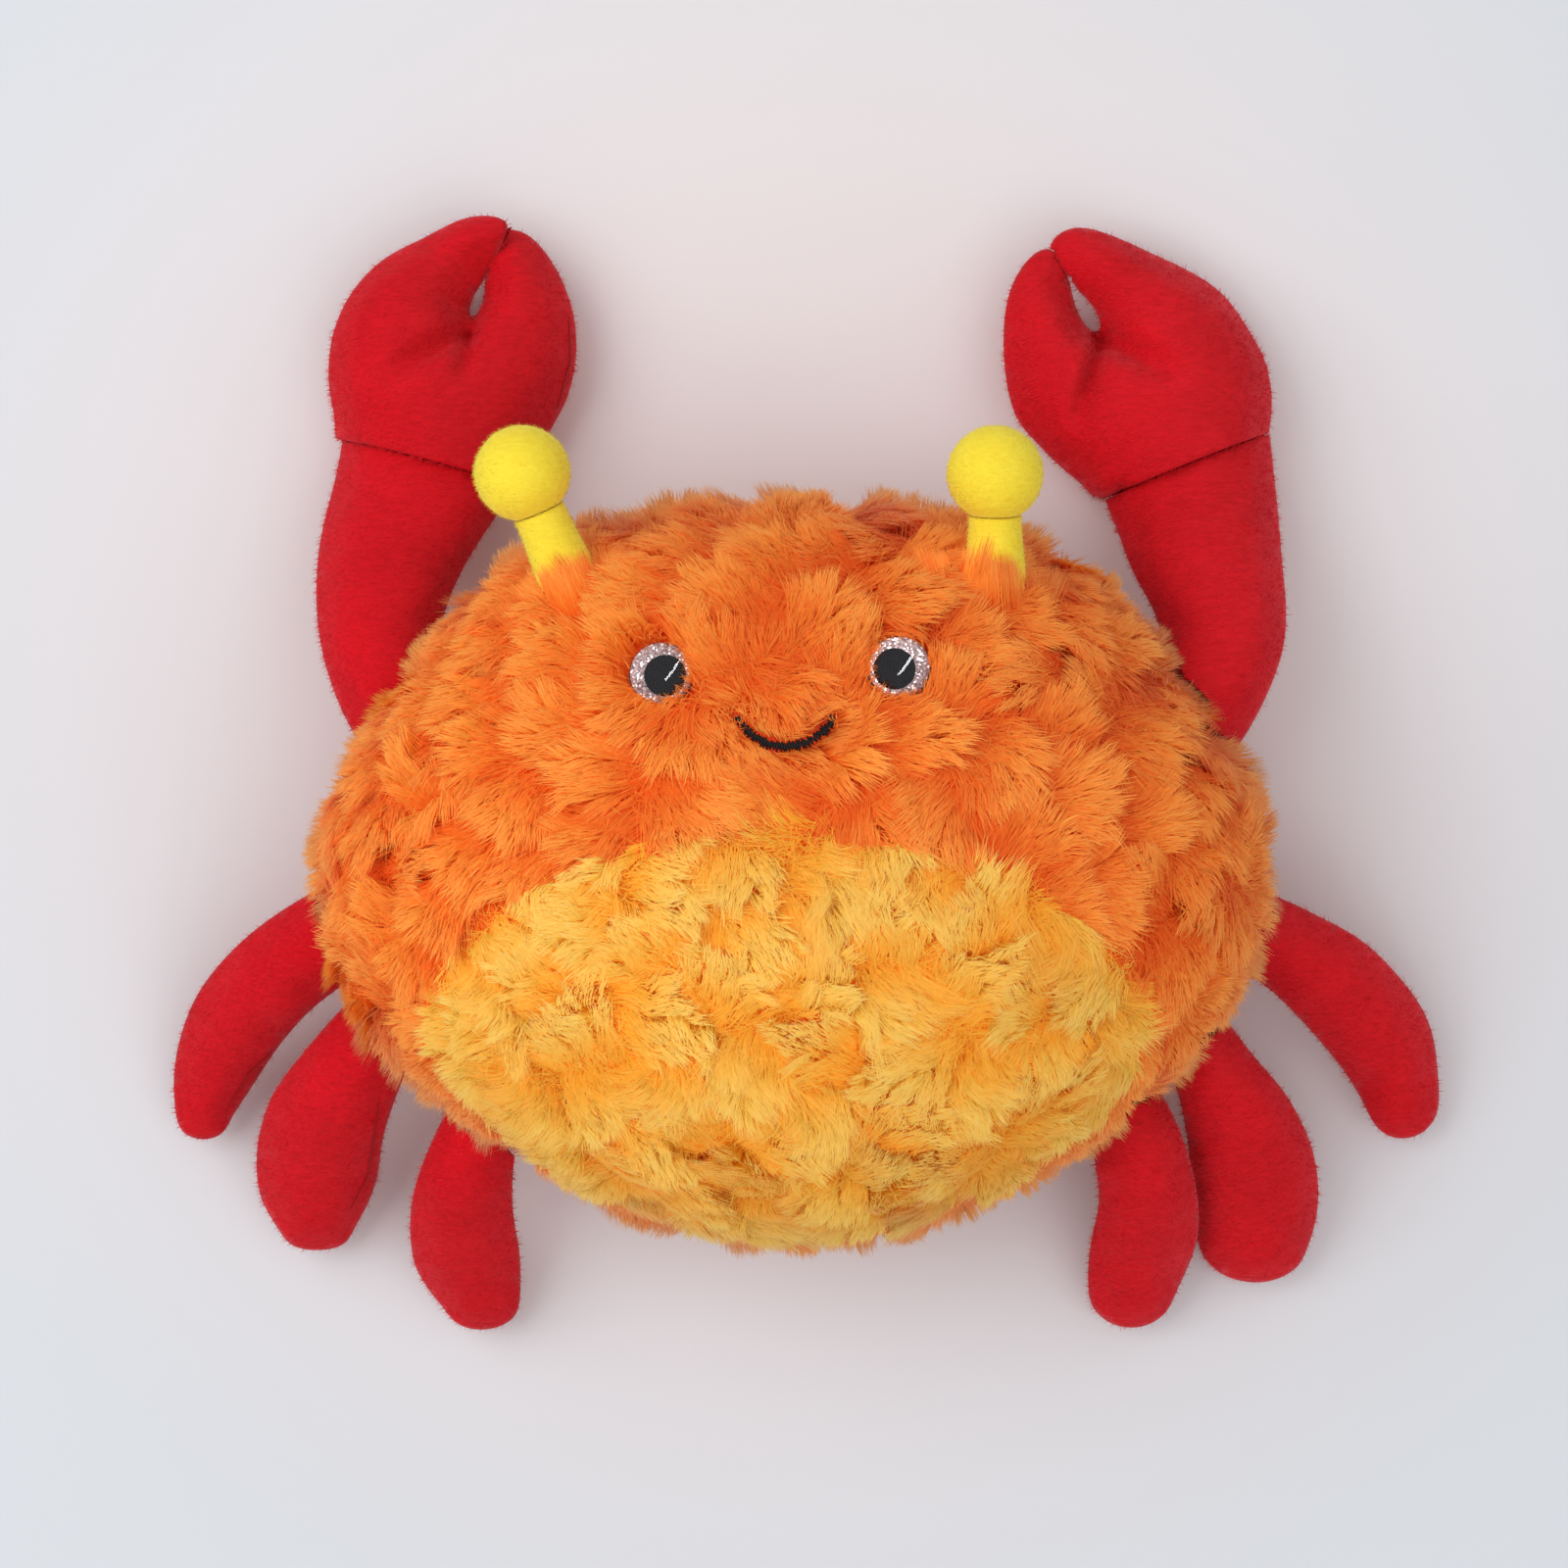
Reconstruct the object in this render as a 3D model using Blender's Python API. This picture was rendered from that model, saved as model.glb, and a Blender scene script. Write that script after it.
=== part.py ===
"""Plush crab that lies on its back with its face up.

A puffed body of shaggy fur panels round a fibre filling, with short-pile arms, claws and legs, stubby
antennae, domed safety eyes and a stitched smile. Left and right are as seen when looking at the face.
+Z points out of the face and +Y to the top of the head. The origin is the bottom centre of the whole toy.
"""

import math

import bmesh
import bpy
import numpy as np
from mathutils import Matrix, Vector
from mathutils.geometry import delaunay_2d_cdt

MM = 0.001
GAP = 0.3 * MM

# Body: a puffed oval, from the middle of the pile on one side to the middle of the pile on the other
BODY_HALF_WIDTH = 96 * MM
BODY_HALF_HEIGHT = 75 * MM
BODY_FRONT_DEPTH = 58 * MM
BODY_BACK_DEPTH = 48 * MM
SEAM_HEIGHT = 44 * MM
BODY_POWER = 2.2
ARM_WAIST_SHARE = 0.085
ARM_WAIST_HEIGHT = 41 * MM
ARM_WAIST_REACH = 19 * MM
LOWER_TAPER = 0.28
FUR_THICKNESS = 8 * MM
FILLING_CLEARANCE = 1.8 * MM

# Tummy patch: an oval set into the front, with its distances to the side seam along the cloth
BELLY_SIDE_MARGIN = 54 * MM
BELLY_UPPER_MARGIN = 97 * MM
BELLY_LOWER_MARGIN = 22 * MM
BELLY_SHIFT = -2 * MM

# Locks of fur, laid like scales in changing directions
LOCK_COUNT = 420
LOCK_REACH = 8 * MM
LOCK_FRONT_REACH = 1.45
LOCK_BACK_REACH = 0.75
LOCK_SCATTER = 0.03
LOCK_RELIEF = 2.2 * MM
LOCK_SEED = 7
BRUSHED_FROM = (-3 * MM, 40 * MM)
BRUSHED_SHARE = 0.85
CURLY_SHARE = 0.25
LAY_SCATTER = 0.6
CURLY_MIDDLE = -0.43
CURLY_REACH = (0.65, 0.51)
TRIMMED_DEPTH = 1.5 * MM
TRIMMED_REACH = 9 * MM
FUR_STEP = 6.8 * MM
INNER_STEP = 16 * MM

# Safety eyes, from the dome at the front to the lock washer inside
EYES = {"left": (-26.3 * MM, 39.8 * MM), "right": (20.6 * MM, 41.0 * MM)}
EYE_RADIUS = 6.0 * MM
EYE_RIM = 1.0 * MM
EYE_HEIGHT = 5.0 * MM
EYE_SINK = 3.8 * MM
EYE_AIM_SHARE = 0.5
PUPIL_RADIUS = 3.9 * MM
PUPIL_THICKNESS = 0.8 * MM
SHANK_RADIUS = 2.1 * MM
SHANK_LENGTH = 11.0 * MM
GLITTER_RADIUS = 6.2 * MM
GLITTER_THICKNESS = 0.6 * MM
WASHER_RADIUS = 6.3 * MM
WASHER_THICKNESS = 1.5 * MM
WASHER_ALLOWANCE = 2.8 * MM

# Stitched smile: an arc of thread that hangs between its two ends
MOUTH_CENTRE = (-1.7 * MM, 35.2 * MM)
MOUTH_ARC_RADIUS = 10.4 * MM
MOUTH_HALF_ANGLE = 63
MOUTH_THREAD_RADIUS = 1.1 * MM
MOUTH_SINK = 1.0 * MM
MOUTH_STITCHES = 20
STITCH_RELIEF_SHARE = 0.12

# Antennae: a foot on the head, the way to the ball's centre, and the sizes of ball and stalk
ANTENNAE = {
    "left": {"foot": (-44.9 * MM, 58.5 * MM), "reach": (-8.9 * MM, 20.6 * MM, 4 * MM)},
    "right": {"foot": (39.9 * MM, 59.5 * MM), "reach": (-0.2 * MM, 19.4 * MM, 4 * MM)},
}
BALL_RADIUS = 9.6 * MM
STALK_TOP_RADIUS = 5.2 * MM
STALK_FOOT_RADIUS = 6.1 * MM
STALK_ROOT = 7 * MM

# Arms, claws and legs: two panels sewn along their edge and stuffed, cut to patterns drawn on squared paper
SQUARE_WIDTH = 10 * MM
LIMB_STEP = 4.6 * MM
FULLNESS_RATIO = 0.6
LEG_ROOT_HEIGHT = 38 * MM
LEG_TIP_HEIGHT = 8.6 * MM
ARM_ROOT_HEIGHT = 38 * MM
WRIST_HEIGHT = 15.2 * MM
END_POWER = 2.3

# Each leg: where it is sewn on, as shares of the body's half width and half height, how its seam plane
# leans, its middle line from there as (across, up, half width) in squares, and the tip that ends it
LEGS = {
    "leg_left_upper": (
        (-0.979, -0.187), -0.25,
        [(1.1, 0.5, 0.95), (0, 0.1, 0.98), (-1.28, -0.77, 1), (-2.28, -1.85, 1), (-2.86, -2.93, 0.86),
         (-3.13, -3.7, 0.64)],
        (-3.2, -4.4),
    ),
    "leg_left_middle": (
        (-0.892, -0.461), -0.25,
        [(0.9, 1, 0.85), (-0.05, 0, 0.92), (-0.6, -0.8, 1.05), (-1.17, -1.77, 1.23), (-1.45, -2.76, 1.3),
         (-1.57, -3.6, 1.15), (-1.54, -4.2, 0.8)],
        (-1.54, -4.7),
    ),
    "leg_left_lower": (
        (-0.703, -0.729), -0.1,
        [(0.8, 1.4, 0.75), (0.38, 0.34, 0.78), (0.07, -0.56, 0.9), (-0.16, -1.68, 1.06), (-0.11, -2.83, 1.12),
         (0.15, -3.6, 0.87)],
        (0.22, -4.38),
    ),
    "leg_right_upper": (
        (0.981, -0.176), 0.1,
        [(-0.9, 0.4, 0.85), (0.3, -0.06, 0.85), (0.9, -0.39, 0.9), (1.87, -1.08, 1.04), (3.01, -2.32, 1.05),
         (3.44, -3.3, 0.87)],
        (3.68, -4.46),
    ),
    "leg_right_middle": (
        (0.873, -0.497), 0.1,
        [(-0.7, 1, 0.75), (0.02, 0.02, 0.78), (0.32, -0.5, 0.86), (0.86, -1.5, 1.13), (1.25, -2.61, 1.32),
         (1.41, -3.79, 1.3)],
        (1.25, -5.12),
    ),
    "leg_right_lower": (
        (0.717, -0.716), 0.0,
        [(-0.7, 1.2, 0.82), (0.01, 0.25, 0.85), (0.25, -0.45, 0.94), (0.49, -1.45, 1.01), (0.5, -2.35, 1.12),
         (0.31, -3.3, 1)],
        (0.18, -4.44),
    ),
}

# Each arm: the same, as far as its wrist. The claw starts on the same wrist line.
ARMS = {
    "arm_left": (
        (-0.926, 0.479), -0.1,
        [(1.7, -1.4, 0.9), (0.8, -0.3, 1.1), (0.34, 1.22, 1.24), (0.43, 2.79, 1.5), (0.85, 4.1, 1.71)],
    ),
    "arm_right": (
        (0.926, 0.479), 0.0,
        [(-1.6, -1.6, 0.9), (-0.65, -0.4, 1.14), (-0.02, 1.22, 1.28), (-0.23, 2.78, 1.56),
         (-0.42, 3.94, 1.73)],
    ),
}

# Each claw: its wrist's middle in squares from the arm's root, and its edge from there, from the outer
# end of the wrist round the big finger, into the slit, round the small finger and back to the wrist
CLAWS = {
    "claw_left": (
        (1.19, 4.93), -0.15,
        [(-1.84, 0.5), (-2.03, 1.16), (-2.09, 2.01), (-1.95, 2.85), (-1.57, 3.62), (-0.96, 4.26),
         (-0.27, 4.64), (0.72, 5.11), (1.33, 5.33), (1.73, 5.16), (1.36, 4.9), (1.23, 4.45), (1.19, 3.98),
         (0.97, 3.6),
         (0.82, 3.2), (0.93, 2.98), (1.17, 3.43), (1.24, 3.97), (1.28, 4.43), (1.44, 4.86), (1.84, 4.98),
         (2.25, 4.75), (2.63, 4.22),
         (2.94, 3.54), (3.09, 2.85), (3.08, 2.09), (2.94, 1.47), (2.54, 0.7), (1.84, -0.5)],
    ),
    "claw_right": (
        (-0.58, 4.87), 0.05,
        [(1.74, 0.7), (1.82, 1.53), (1.71, 2.15), (1.35, 2.83), (0.82, 3.6), (0.13, 4.09), (-0.71, 4.48),
         (-1.54, 4.86), (-2.16, 5.07), (-2.66, 5.0), (-2.87, 4.62), (-2.5, 3.92), (-2.13, 3.6), (-1.82, 3.12),
         (-1.8, 2.78), (-2.09, 2.84), (-2.35, 3.3), (-2.56, 3.9), (-2.94, 4.56), (-3.2, 4.53), (-3.5, 4.2),
         (-3.73, 3.75), (-3.88, 2.91), (-3.83, 1.84), (-3.61, 0.99), (-3.15, 0.45), (-2.62, -0.08),
         (-1.74, -0.7)],
    ),
}

ORANGE = (0.90, 0.20, 0.02)
YELLOW_FUR = (1.0, 0.42, 0.03)
RED = (0.60, 0.008, 0.015)
LEMON = (1.0, 0.72, 0.02)
WHITE_FIBRE = (0.85, 0.85, 0.83)
BLACK = (0.01, 0.01, 0.012)
CLEAR = (0.9, 0.92, 0.93)
SILVER = (0.62, 0.58, 0.57)


def clear_scene():
    for obj in list(bpy.data.objects):
        bpy.data.objects.remove(obj)


def make_material(name, colour, roughness, metallic=0.0):
    material = bpy.data.materials.new(name)
    material.use_nodes = True
    shader = material.node_tree.nodes["Principled BSDF"]
    shader.inputs["Base Color"].default_value = (*colour, 1)
    shader.inputs["Roughness"].default_value = roughness
    shader.inputs["Metallic"].default_value = metallic
    material.diffuse_color = (*colour, 1)
    return material


def add_object(name, vertices, faces, material, toy, smooth=True):
    """A named piece that hangs on the toy's empty, with its faces pointing out."""
    mesh = bpy.data.meshes.new(name)
    mesh.from_pydata([tuple(v) for v in vertices], [], [tuple(int(i) for i in f) for f in faces])
    shell = bmesh.new()
    shell.from_mesh(mesh)
    bmesh.ops.recalc_face_normals(shell, faces=shell.faces)
    shell.to_mesh(mesh)
    shell.free()
    if smooth:
        mesh.shade_smooth()
        mesh.set_sharp_from_angle(angle=math.radians(50))
    obj = bpy.data.objects.new(name, mesh)
    bpy.context.scene.collection.objects.link(obj)
    obj.parent = toy
    if material:
        mesh.materials.append(material)
    return obj


def as_cutter(obj):
    obj.hide_render = True
    obj.display_type = "WIRE"
    return obj


def cut(obj, cutter):
    modifier = obj.modifiers.new("cut_by_" + cutter.name, "BOOLEAN")
    modifier.operation = "DIFFERENCE"
    modifier.solver = "EXACT"
    modifier.object = cutter


# Body surface, in coordinates from the body's middle


def half_width(y):
    """Half the body's width, drawn in where the arms are sewn on and towards the lower end."""
    waist = ARM_WAIST_SHARE * np.exp(-(((y - ARM_WAIST_HEIGHT) / ARM_WAIST_REACH) ** 2))
    taper = LOWER_TAPER * (np.minimum(y, 0) / BODY_HALF_HEIGHT) ** 2
    return BODY_HALF_WIDTH * (1 - waist - taper)


def body_level(points):
    """1 on the surface, less inside."""
    x, y, z = points.T
    depth = np.where(z > 0, BODY_FRONT_DEPTH, BODY_BACK_DEPTH)
    return (
        np.abs(x / half_width(y)) ** BODY_POWER
        + np.abs(y / BODY_HALF_HEIGHT) ** BODY_POWER
        + np.abs(z / depth) ** BODY_POWER
    )


def onto_body(points):
    """Points moved along their line from the middle until they lie on the surface."""
    for _ in range(40):
        points = points * (body_level(points) ** (-1 / BODY_POWER))[:, None]
    return points


def body_normals(points):
    small = 0.01 * MM
    slope = np.stack(
        [body_level(points + small * axis) - body_level(points - small * axis) for axis in np.eye(3)], 1
    )
    return slope / np.linalg.norm(slope, axis=1)[:, None]


def face_height(x, y):
    """Height of the front surface over a point of the face, from the body's middle."""
    left = 1 - abs(x / half_width(y)) ** BODY_POWER - abs(y / BODY_HALF_HEIGHT) ** BODY_POWER
    return BODY_FRONT_DEPTH * left ** (1 / BODY_POWER)


def on_body(shares):
    """A place in front of the body, from its shares of the half width and the half height."""
    return np.array([shares[0] * BODY_HALF_WIDTH, shares[1] * BODY_HALF_HEIGHT])


# Locks of fur


def tangent(vectors, normals):
    """The unit vectors along the surface that are nearest to these."""
    along = vectors - (vectors * normals).sum(1)[:, None] * normals
    return along / np.linalg.norm(along, axis=1)[:, None]


def smooth(share):
    share = np.clip(share, 0, 1)
    return share * share * (3 - 2 * share)


def lock_layout():
    """Middles of the locks, evenly spread over the body, and the way in which each one lies: brushed
    outward from between the eyes, and curling every way on the belly."""
    rng = np.random.default_rng(LOCK_SEED)
    index = np.arange(LOCK_COUNT) + 0.5
    height = 1 - 2 * index / LOCK_COUNT
    turn = index * math.pi * (1 + math.sqrt(5))
    ring = np.sqrt(1 - height**2)
    even = np.stack([ring * np.cos(turn), ring * np.sin(turn), height], 1)
    even += rng.normal(0, LOCK_SCATTER, even.shape)
    sizes = np.array([BODY_HALF_WIDTH, BODY_HALF_HEIGHT, BODY_FRONT_DEPTH])
    middles = onto_body(even * sizes)
    normals = body_normals(middles)
    across, up, out = (middles / sizes).T
    curly = (out > 0) & (np.hypot(across / CURLY_REACH[0], (up - CURLY_MIDDLE) / CURLY_REACH[1]) < 1)
    brushed = tangent(middles - np.array([*BRUSHED_FROM, BODY_FRONT_DEPTH]), normals)
    share = np.where(curly, CURLY_SHARE, BRUSHED_SHARE)[:, None]
    return middles, tangent(share * brushed + rng.normal(0, LAY_SCATTER, middles.shape), normals)


def trimmed(points):
    """1 where the pile is clipped short round the eyes and the smile, 0 elsewhere."""
    spots = [*EYES.values(), MOUTH_CENTRE, *(tuple(p[:2]) for p in mouth_path(5))]
    nearest = np.min([np.hypot(points[:, 0] - x, points[:, 1] - y) for x, y in spots], axis=0)
    return smooth((TRIMMED_REACH - nearest) / (0.4 * TRIMMED_REACH)) * (points[:, 2] > 0)


def pile_height(points, locks):
    """How far the locks stand above the middle of the pile: low at a lock's root, high near its front
    edge, which bulges over the next lock because locks reach further forward than back."""
    middles, lays = locks
    normals = body_normals(middles)
    offset = points[:, None] - middles[None]
    along = (offset * lays).sum(2)
    across = (offset * np.cross(normals, lays)).sum(2)
    out = (offset * normals).sum(2)
    scaled = along / np.where(along > 0, LOCK_FRONT_REACH, LOCK_BACK_REACH)
    nearest = np.argmin(scaled**2 + across**2 + out**2, axis=1)
    row = np.arange(len(points))
    forward = along[row, nearest] / LOCK_REACH
    sideways = np.clip(across[row, nearest] / LOCK_REACH, -1.4, 1.4)
    lock = LOCK_RELIEF * (2 * smooth((forward + 0.75) / 1.7) - 0.6 - 0.25 * sideways**2)
    clipped = trimmed(points)
    return lock * (1 - clipped) - TRIMMED_DEPTH * clipped


def pile_surface(points, locks, lift=0.0):
    """The pile's tips over these points of the body, pressed flat where the toy lies on them."""
    tips = points + (pile_height(points, locks) + lift)[:, None] * body_normals(points)
    tips[:, 2] = np.maximum(tips[:, 2], lift - SEAM_HEIGHT)
    return tips


# Flat layouts that are wrapped round one half of the body

FRONT, BACK = 1, -1
LAYOUT_HALF_WIDTH = math.pi / 4 * (BODY_HALF_WIDTH + BODY_FRONT_DEPTH)
LAYOUT_HALF_HEIGHT = math.pi / 4 * (BODY_HALF_HEIGHT + BODY_FRONT_DEPTH)
LAYOUT = np.array([LAYOUT_HALF_WIDTH, LAYOUT_HALF_HEIGHT])


def wrap(flat, side):
    """Layout points wrapped onto the front or back half. The layout's rim is the side seam."""
    unit = flat / LAYOUT
    rim = np.linalg.norm(unit, axis=1)
    tilt = rim * math.pi / 2
    way = unit / np.maximum(rim, 1e-9)[:, None]
    depth = BODY_FRONT_DEPTH if side == FRONT else BODY_BACK_DEPTH
    wrapped = np.stack(
        [
            np.sin(tilt) * way[:, 0] * BODY_HALF_WIDTH,
            np.sin(tilt) * way[:, 1] * BODY_HALF_HEIGHT,
            np.cos(tilt) * depth * side,
        ],
        1,
    )
    wrapped[rim > 1 - 1e-9, 2] = 0
    return onto_body(wrapped)


def hex_points(low, high, step):
    """A net of evenly spaced points in a box."""
    rows = []
    row_step = step * math.sqrt(3) / 2
    for row in range(int((high[1] - low[1]) / row_step) + 1):
        x = np.arange(low[0] + step / 2 * (row % 2), high[0], step)
        rows.append(np.stack([x, np.full(len(x), low[1] + row * row_step)], 1))
    return np.concatenate(rows)


def distance_to_loop(points, loop):
    """Distance of each point from a closed line through the loop's points."""
    nearest = np.full(len(points), np.inf)
    for start, end in zip(loop, np.roll(loop, -1, axis=0)):
        edge = end - start
        share = np.clip(((points - start) @ edge) / max(edge @ edge, 1e-18), 0, 1)
        nearest = np.minimum(nearest, np.linalg.norm(points - start - share[:, None] * edge, axis=1))
    return nearest


def inside_loop(points, loop):
    crossings = np.zeros(len(points), int)
    for (x0, y0), (x1, y1) in zip(loop, np.roll(loop, -1, axis=0)):
        spans = (y0 > points[:, 1]) != (y1 > points[:, 1])
        rise = y1 - y0 if y1 != y0 else 1e-18
        crossings += spans & (points[:, 0] < (x1 - x0) * (points[:, 1] - y0) / rise + x0)
    return crossings % 2 == 1


def fill_layout(loops, step):
    """Points and triangles between an outer loop and the holes in it. The loops' points come first."""
    outer, holes = loops[0], loops[1:]

    def covered(points):
        return inside_loop(points, outer) & ~np.any([inside_loop(points, h) for h in holes], axis=0)

    net = hex_points(outer.min(0), outer.max(0), step)
    net = net[covered(net) if holes else inside_loop(net, outer)]
    clear = np.min([distance_to_loop(net, loop) for loop in loops], axis=0)
    points = np.concatenate([*loops, net[clear > 0.55 * step]])
    edges, first = [], 0
    for loop in loops:
        edges += [(first + i, first + (i + 1) % len(loop)) for i in range(len(loop))]
        first += len(loop)
    found = delaunay_2d_cdt([Vector(p) for p in points], edges, [], 0, 1e-9)
    assert len(found[0]) == len(points)
    triangles = np.array([f for f in found[2]])
    middles = points[triangles].mean(1)
    kept = covered(middles) if holes else inside_loop(middles, outer)
    sides = points[triangles[:, 1:]] - points[triangles[:, :1]]
    kept &= np.abs(np.linalg.det(sides)) > 1e-4 * step**2
    return points, triangles[kept]


def ellipse(centre, half_width, half_height, count, grow=0.0):
    turn = np.arange(count) * 2 * math.pi / count
    size = np.array([half_width + grow, half_height + grow])
    return np.array(centre) + np.stack([np.cos(turn), np.sin(turn)], 1) * size


def seam_loop():
    count = int(math.pi * LAYOUT.sum() / FUR_STEP)
    return ellipse((0, 0), *LAYOUT, count)


def belly_loop(grow):
    top = LAYOUT_HALF_HEIGHT - BELLY_UPPER_MARGIN
    bottom = BELLY_LOWER_MARGIN - LAYOUT_HALF_HEIGHT
    wide, high = LAYOUT_HALF_WIDTH - BELLY_SIDE_MARGIN, (top - bottom) / 2
    count = int(math.pi * (wide + high) / FUR_STEP)
    return ellipse((BELLY_SHIFT, (top + bottom) / 2), wide, high, count, grow)


def fur_panel(name, loops, side, locks, material, toy):
    """A curved panel of fur cloth: the pile's tips outside, the backing inside, walls along its edges."""
    outer_flat, outer_faces = fill_layout(loops, FUR_STEP)
    inner_flat, inner_faces = fill_layout(loops, INNER_STEP)
    outer = wrap(outer_flat, side)
    inner = wrap(inner_flat, side)
    tips = pile_surface(outer, locks)
    backing = inner - FUR_THICKNESS * body_normals(inner)
    edge_count = sum(len(loop) for loop in loops)
    for sheet, source in ((tips, outer), (backing, inner)):
        on_seam = source[:, 2] == 0
        sheet[on_seam, 2] = side * GAP / 2
        sheet[~on_seam, 2] = side * np.maximum(side * sheet[~on_seam, 2], GAP)
    faces = [tuple(f) for f in outer_faces]
    shift = len(tips)
    faces += [tuple(shift + i for i in reversed(f)) for f in inner_faces]
    first = 0
    for loop in loops:
        for i in range(len(loop)):
            a, b = first + i, first + (i + 1) % len(loop)
            faces.append((a, b, shift + b, shift + a))
        first += len(loop)
    assert first == edge_count
    panel = add_object(name, np.concatenate([tips, backing]), faces, material, toy)
    panel.location = (0, 0, SEAM_HEIGHT)
    return panel


def whole_body(name, lift, step, toy, locks=None):
    """A closed body: the pile's surface raised by lift, or without locks the plain body grown by lift."""
    loops = [ellipse((0, 0), *LAYOUT, int(math.pi * LAYOUT.sum() / step))]
    flat, triangles = fill_layout(loops, step)
    rim = len(loops[0])
    halves = []
    for side in (FRONT, BACK):
        half = wrap(flat, side)
        if locks:
            halves.append(pile_surface(half, locks, lift))
        else:
            halves.append(half + lift * body_normals(half))
    vertices = np.concatenate([halves[0], halves[1][rim:]])
    index = np.concatenate([np.arange(rim), len(flat) + np.arange(len(flat) - rim)])
    faces = [tuple(f) for f in triangles] + [tuple(index[i] for i in reversed(f)) for f in triangles]
    body = add_object(name, vertices, faces, None, toy)
    body.location = (0, 0, SEAM_HEIGHT)
    return body


# Turned and swept pieces


def turned(name, profile, material, toy, segments=32):
    """A closed outline of (radius, height) points turned round the piece's own Z axis."""
    vertices, rings = [], []
    for radius, height in profile:
        if radius == 0:
            rings.append([len(vertices)] * segments)
            vertices.append((0, 0, height))
            continue
        rings.append(list(range(len(vertices), len(vertices) + segments)))
        for i in range(segments):
            turn = 2 * math.pi * i / segments
            vertices.append((radius * math.cos(turn), radius * math.sin(turn), height))
    faces = []
    for lower, upper in zip(rings, rings[1:] + rings[:1]):
        for i in range(segments):
            j = (i + 1) % segments
            corners = list(dict.fromkeys((lower[i], lower[j], upper[j], upper[i])))
            if len(corners) > 2:
                faces.append(corners)
    return add_object(name, vertices, faces, material, toy)


def swept(name, path, radii, sides, material, toy):
    """A round bar along a path, with flat ends."""
    path = np.asarray(path)
    ahead = np.gradient(path, axis=0)
    ahead /= np.linalg.norm(ahead, axis=1)[:, None]
    vertices = []
    for point, way, radius in zip(path, ahead, radii):
        across = np.cross(way, (0, 0, 1))
        across /= np.linalg.norm(across)
        up = np.cross(across, way)
        for i in range(sides):
            turn = 2 * math.pi * (i + 0.5) / sides
            vertices.append(point + radius * (math.cos(turn) * across + math.sin(turn) * up))
    faces = []
    for ring in range(len(path) - 1):
        for i in range(sides):
            j = (i + 1) % sides
            a, b = ring * sides, (ring + 1) * sides
            faces.append((a + i, a + j, b + j, b + i))
    last = (len(path) - 1) * sides
    faces.append(tuple(range(sides)))
    faces.append(tuple(range(last, last + sides)))
    return add_object(name, vertices, faces, material, toy)


# Eyes and smile


def eye_placement(x, y):
    """Position and rotation of an eye: on the face, turned part of the way to the front."""
    point = np.array([[x, y, face_height(x, y)]])
    normal = body_normals(point)[0]
    aim = normal * (1 - EYE_AIM_SHARE) + np.array([0, 0, 1]) * EYE_AIM_SHARE
    rotation = Vector(aim).to_track_quat("Z", "Y").to_matrix().to_4x4()
    return Matrix.Translation(Vector(point[0]) + Vector((0, 0, SEAM_HEIGHT))) @ rotation


def dome_profile():
    """Clear plastic eye: a flat back with a recess for the pupil, a short rim and a domed front."""
    back = -EYE_SINK
    recess = PUPIL_RADIUS + GAP
    recess_top = back + PUPIL_THICKNESS + GAP
    rise = EYE_HEIGHT - EYE_RIM
    steps = 5
    turns = [i / steps * math.pi / 2 for i in range(steps)]
    arc = [(EYE_RADIUS * math.cos(turn), back + EYE_RIM + rise * math.sin(turn)) for turn in turns]
    inside = [(0, recess_top), (recess, recess_top)]
    return [(recess, back), (EYE_RADIUS, back), *arc, (0, back + EYE_HEIGHT), *inside]


def pupil_profile():
    """Black disc behind the dome, in one piece with the shank that holds the eye."""
    front = -EYE_SINK + PUPIL_THICKNESS
    back = -EYE_SINK
    end = back - SHANK_LENGTH
    disc = [(0, front), (PUPIL_RADIUS, front), (PUPIL_RADIUS, back)]
    return [*disc, (SHANK_RADIUS, back), (SHANK_RADIUS, end), (0, end)]


def ring_profile(outer, inner, top, thickness):
    return [(inner, top), (outer, top), (outer, top - thickness), (inner, top - thickness)]


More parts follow.
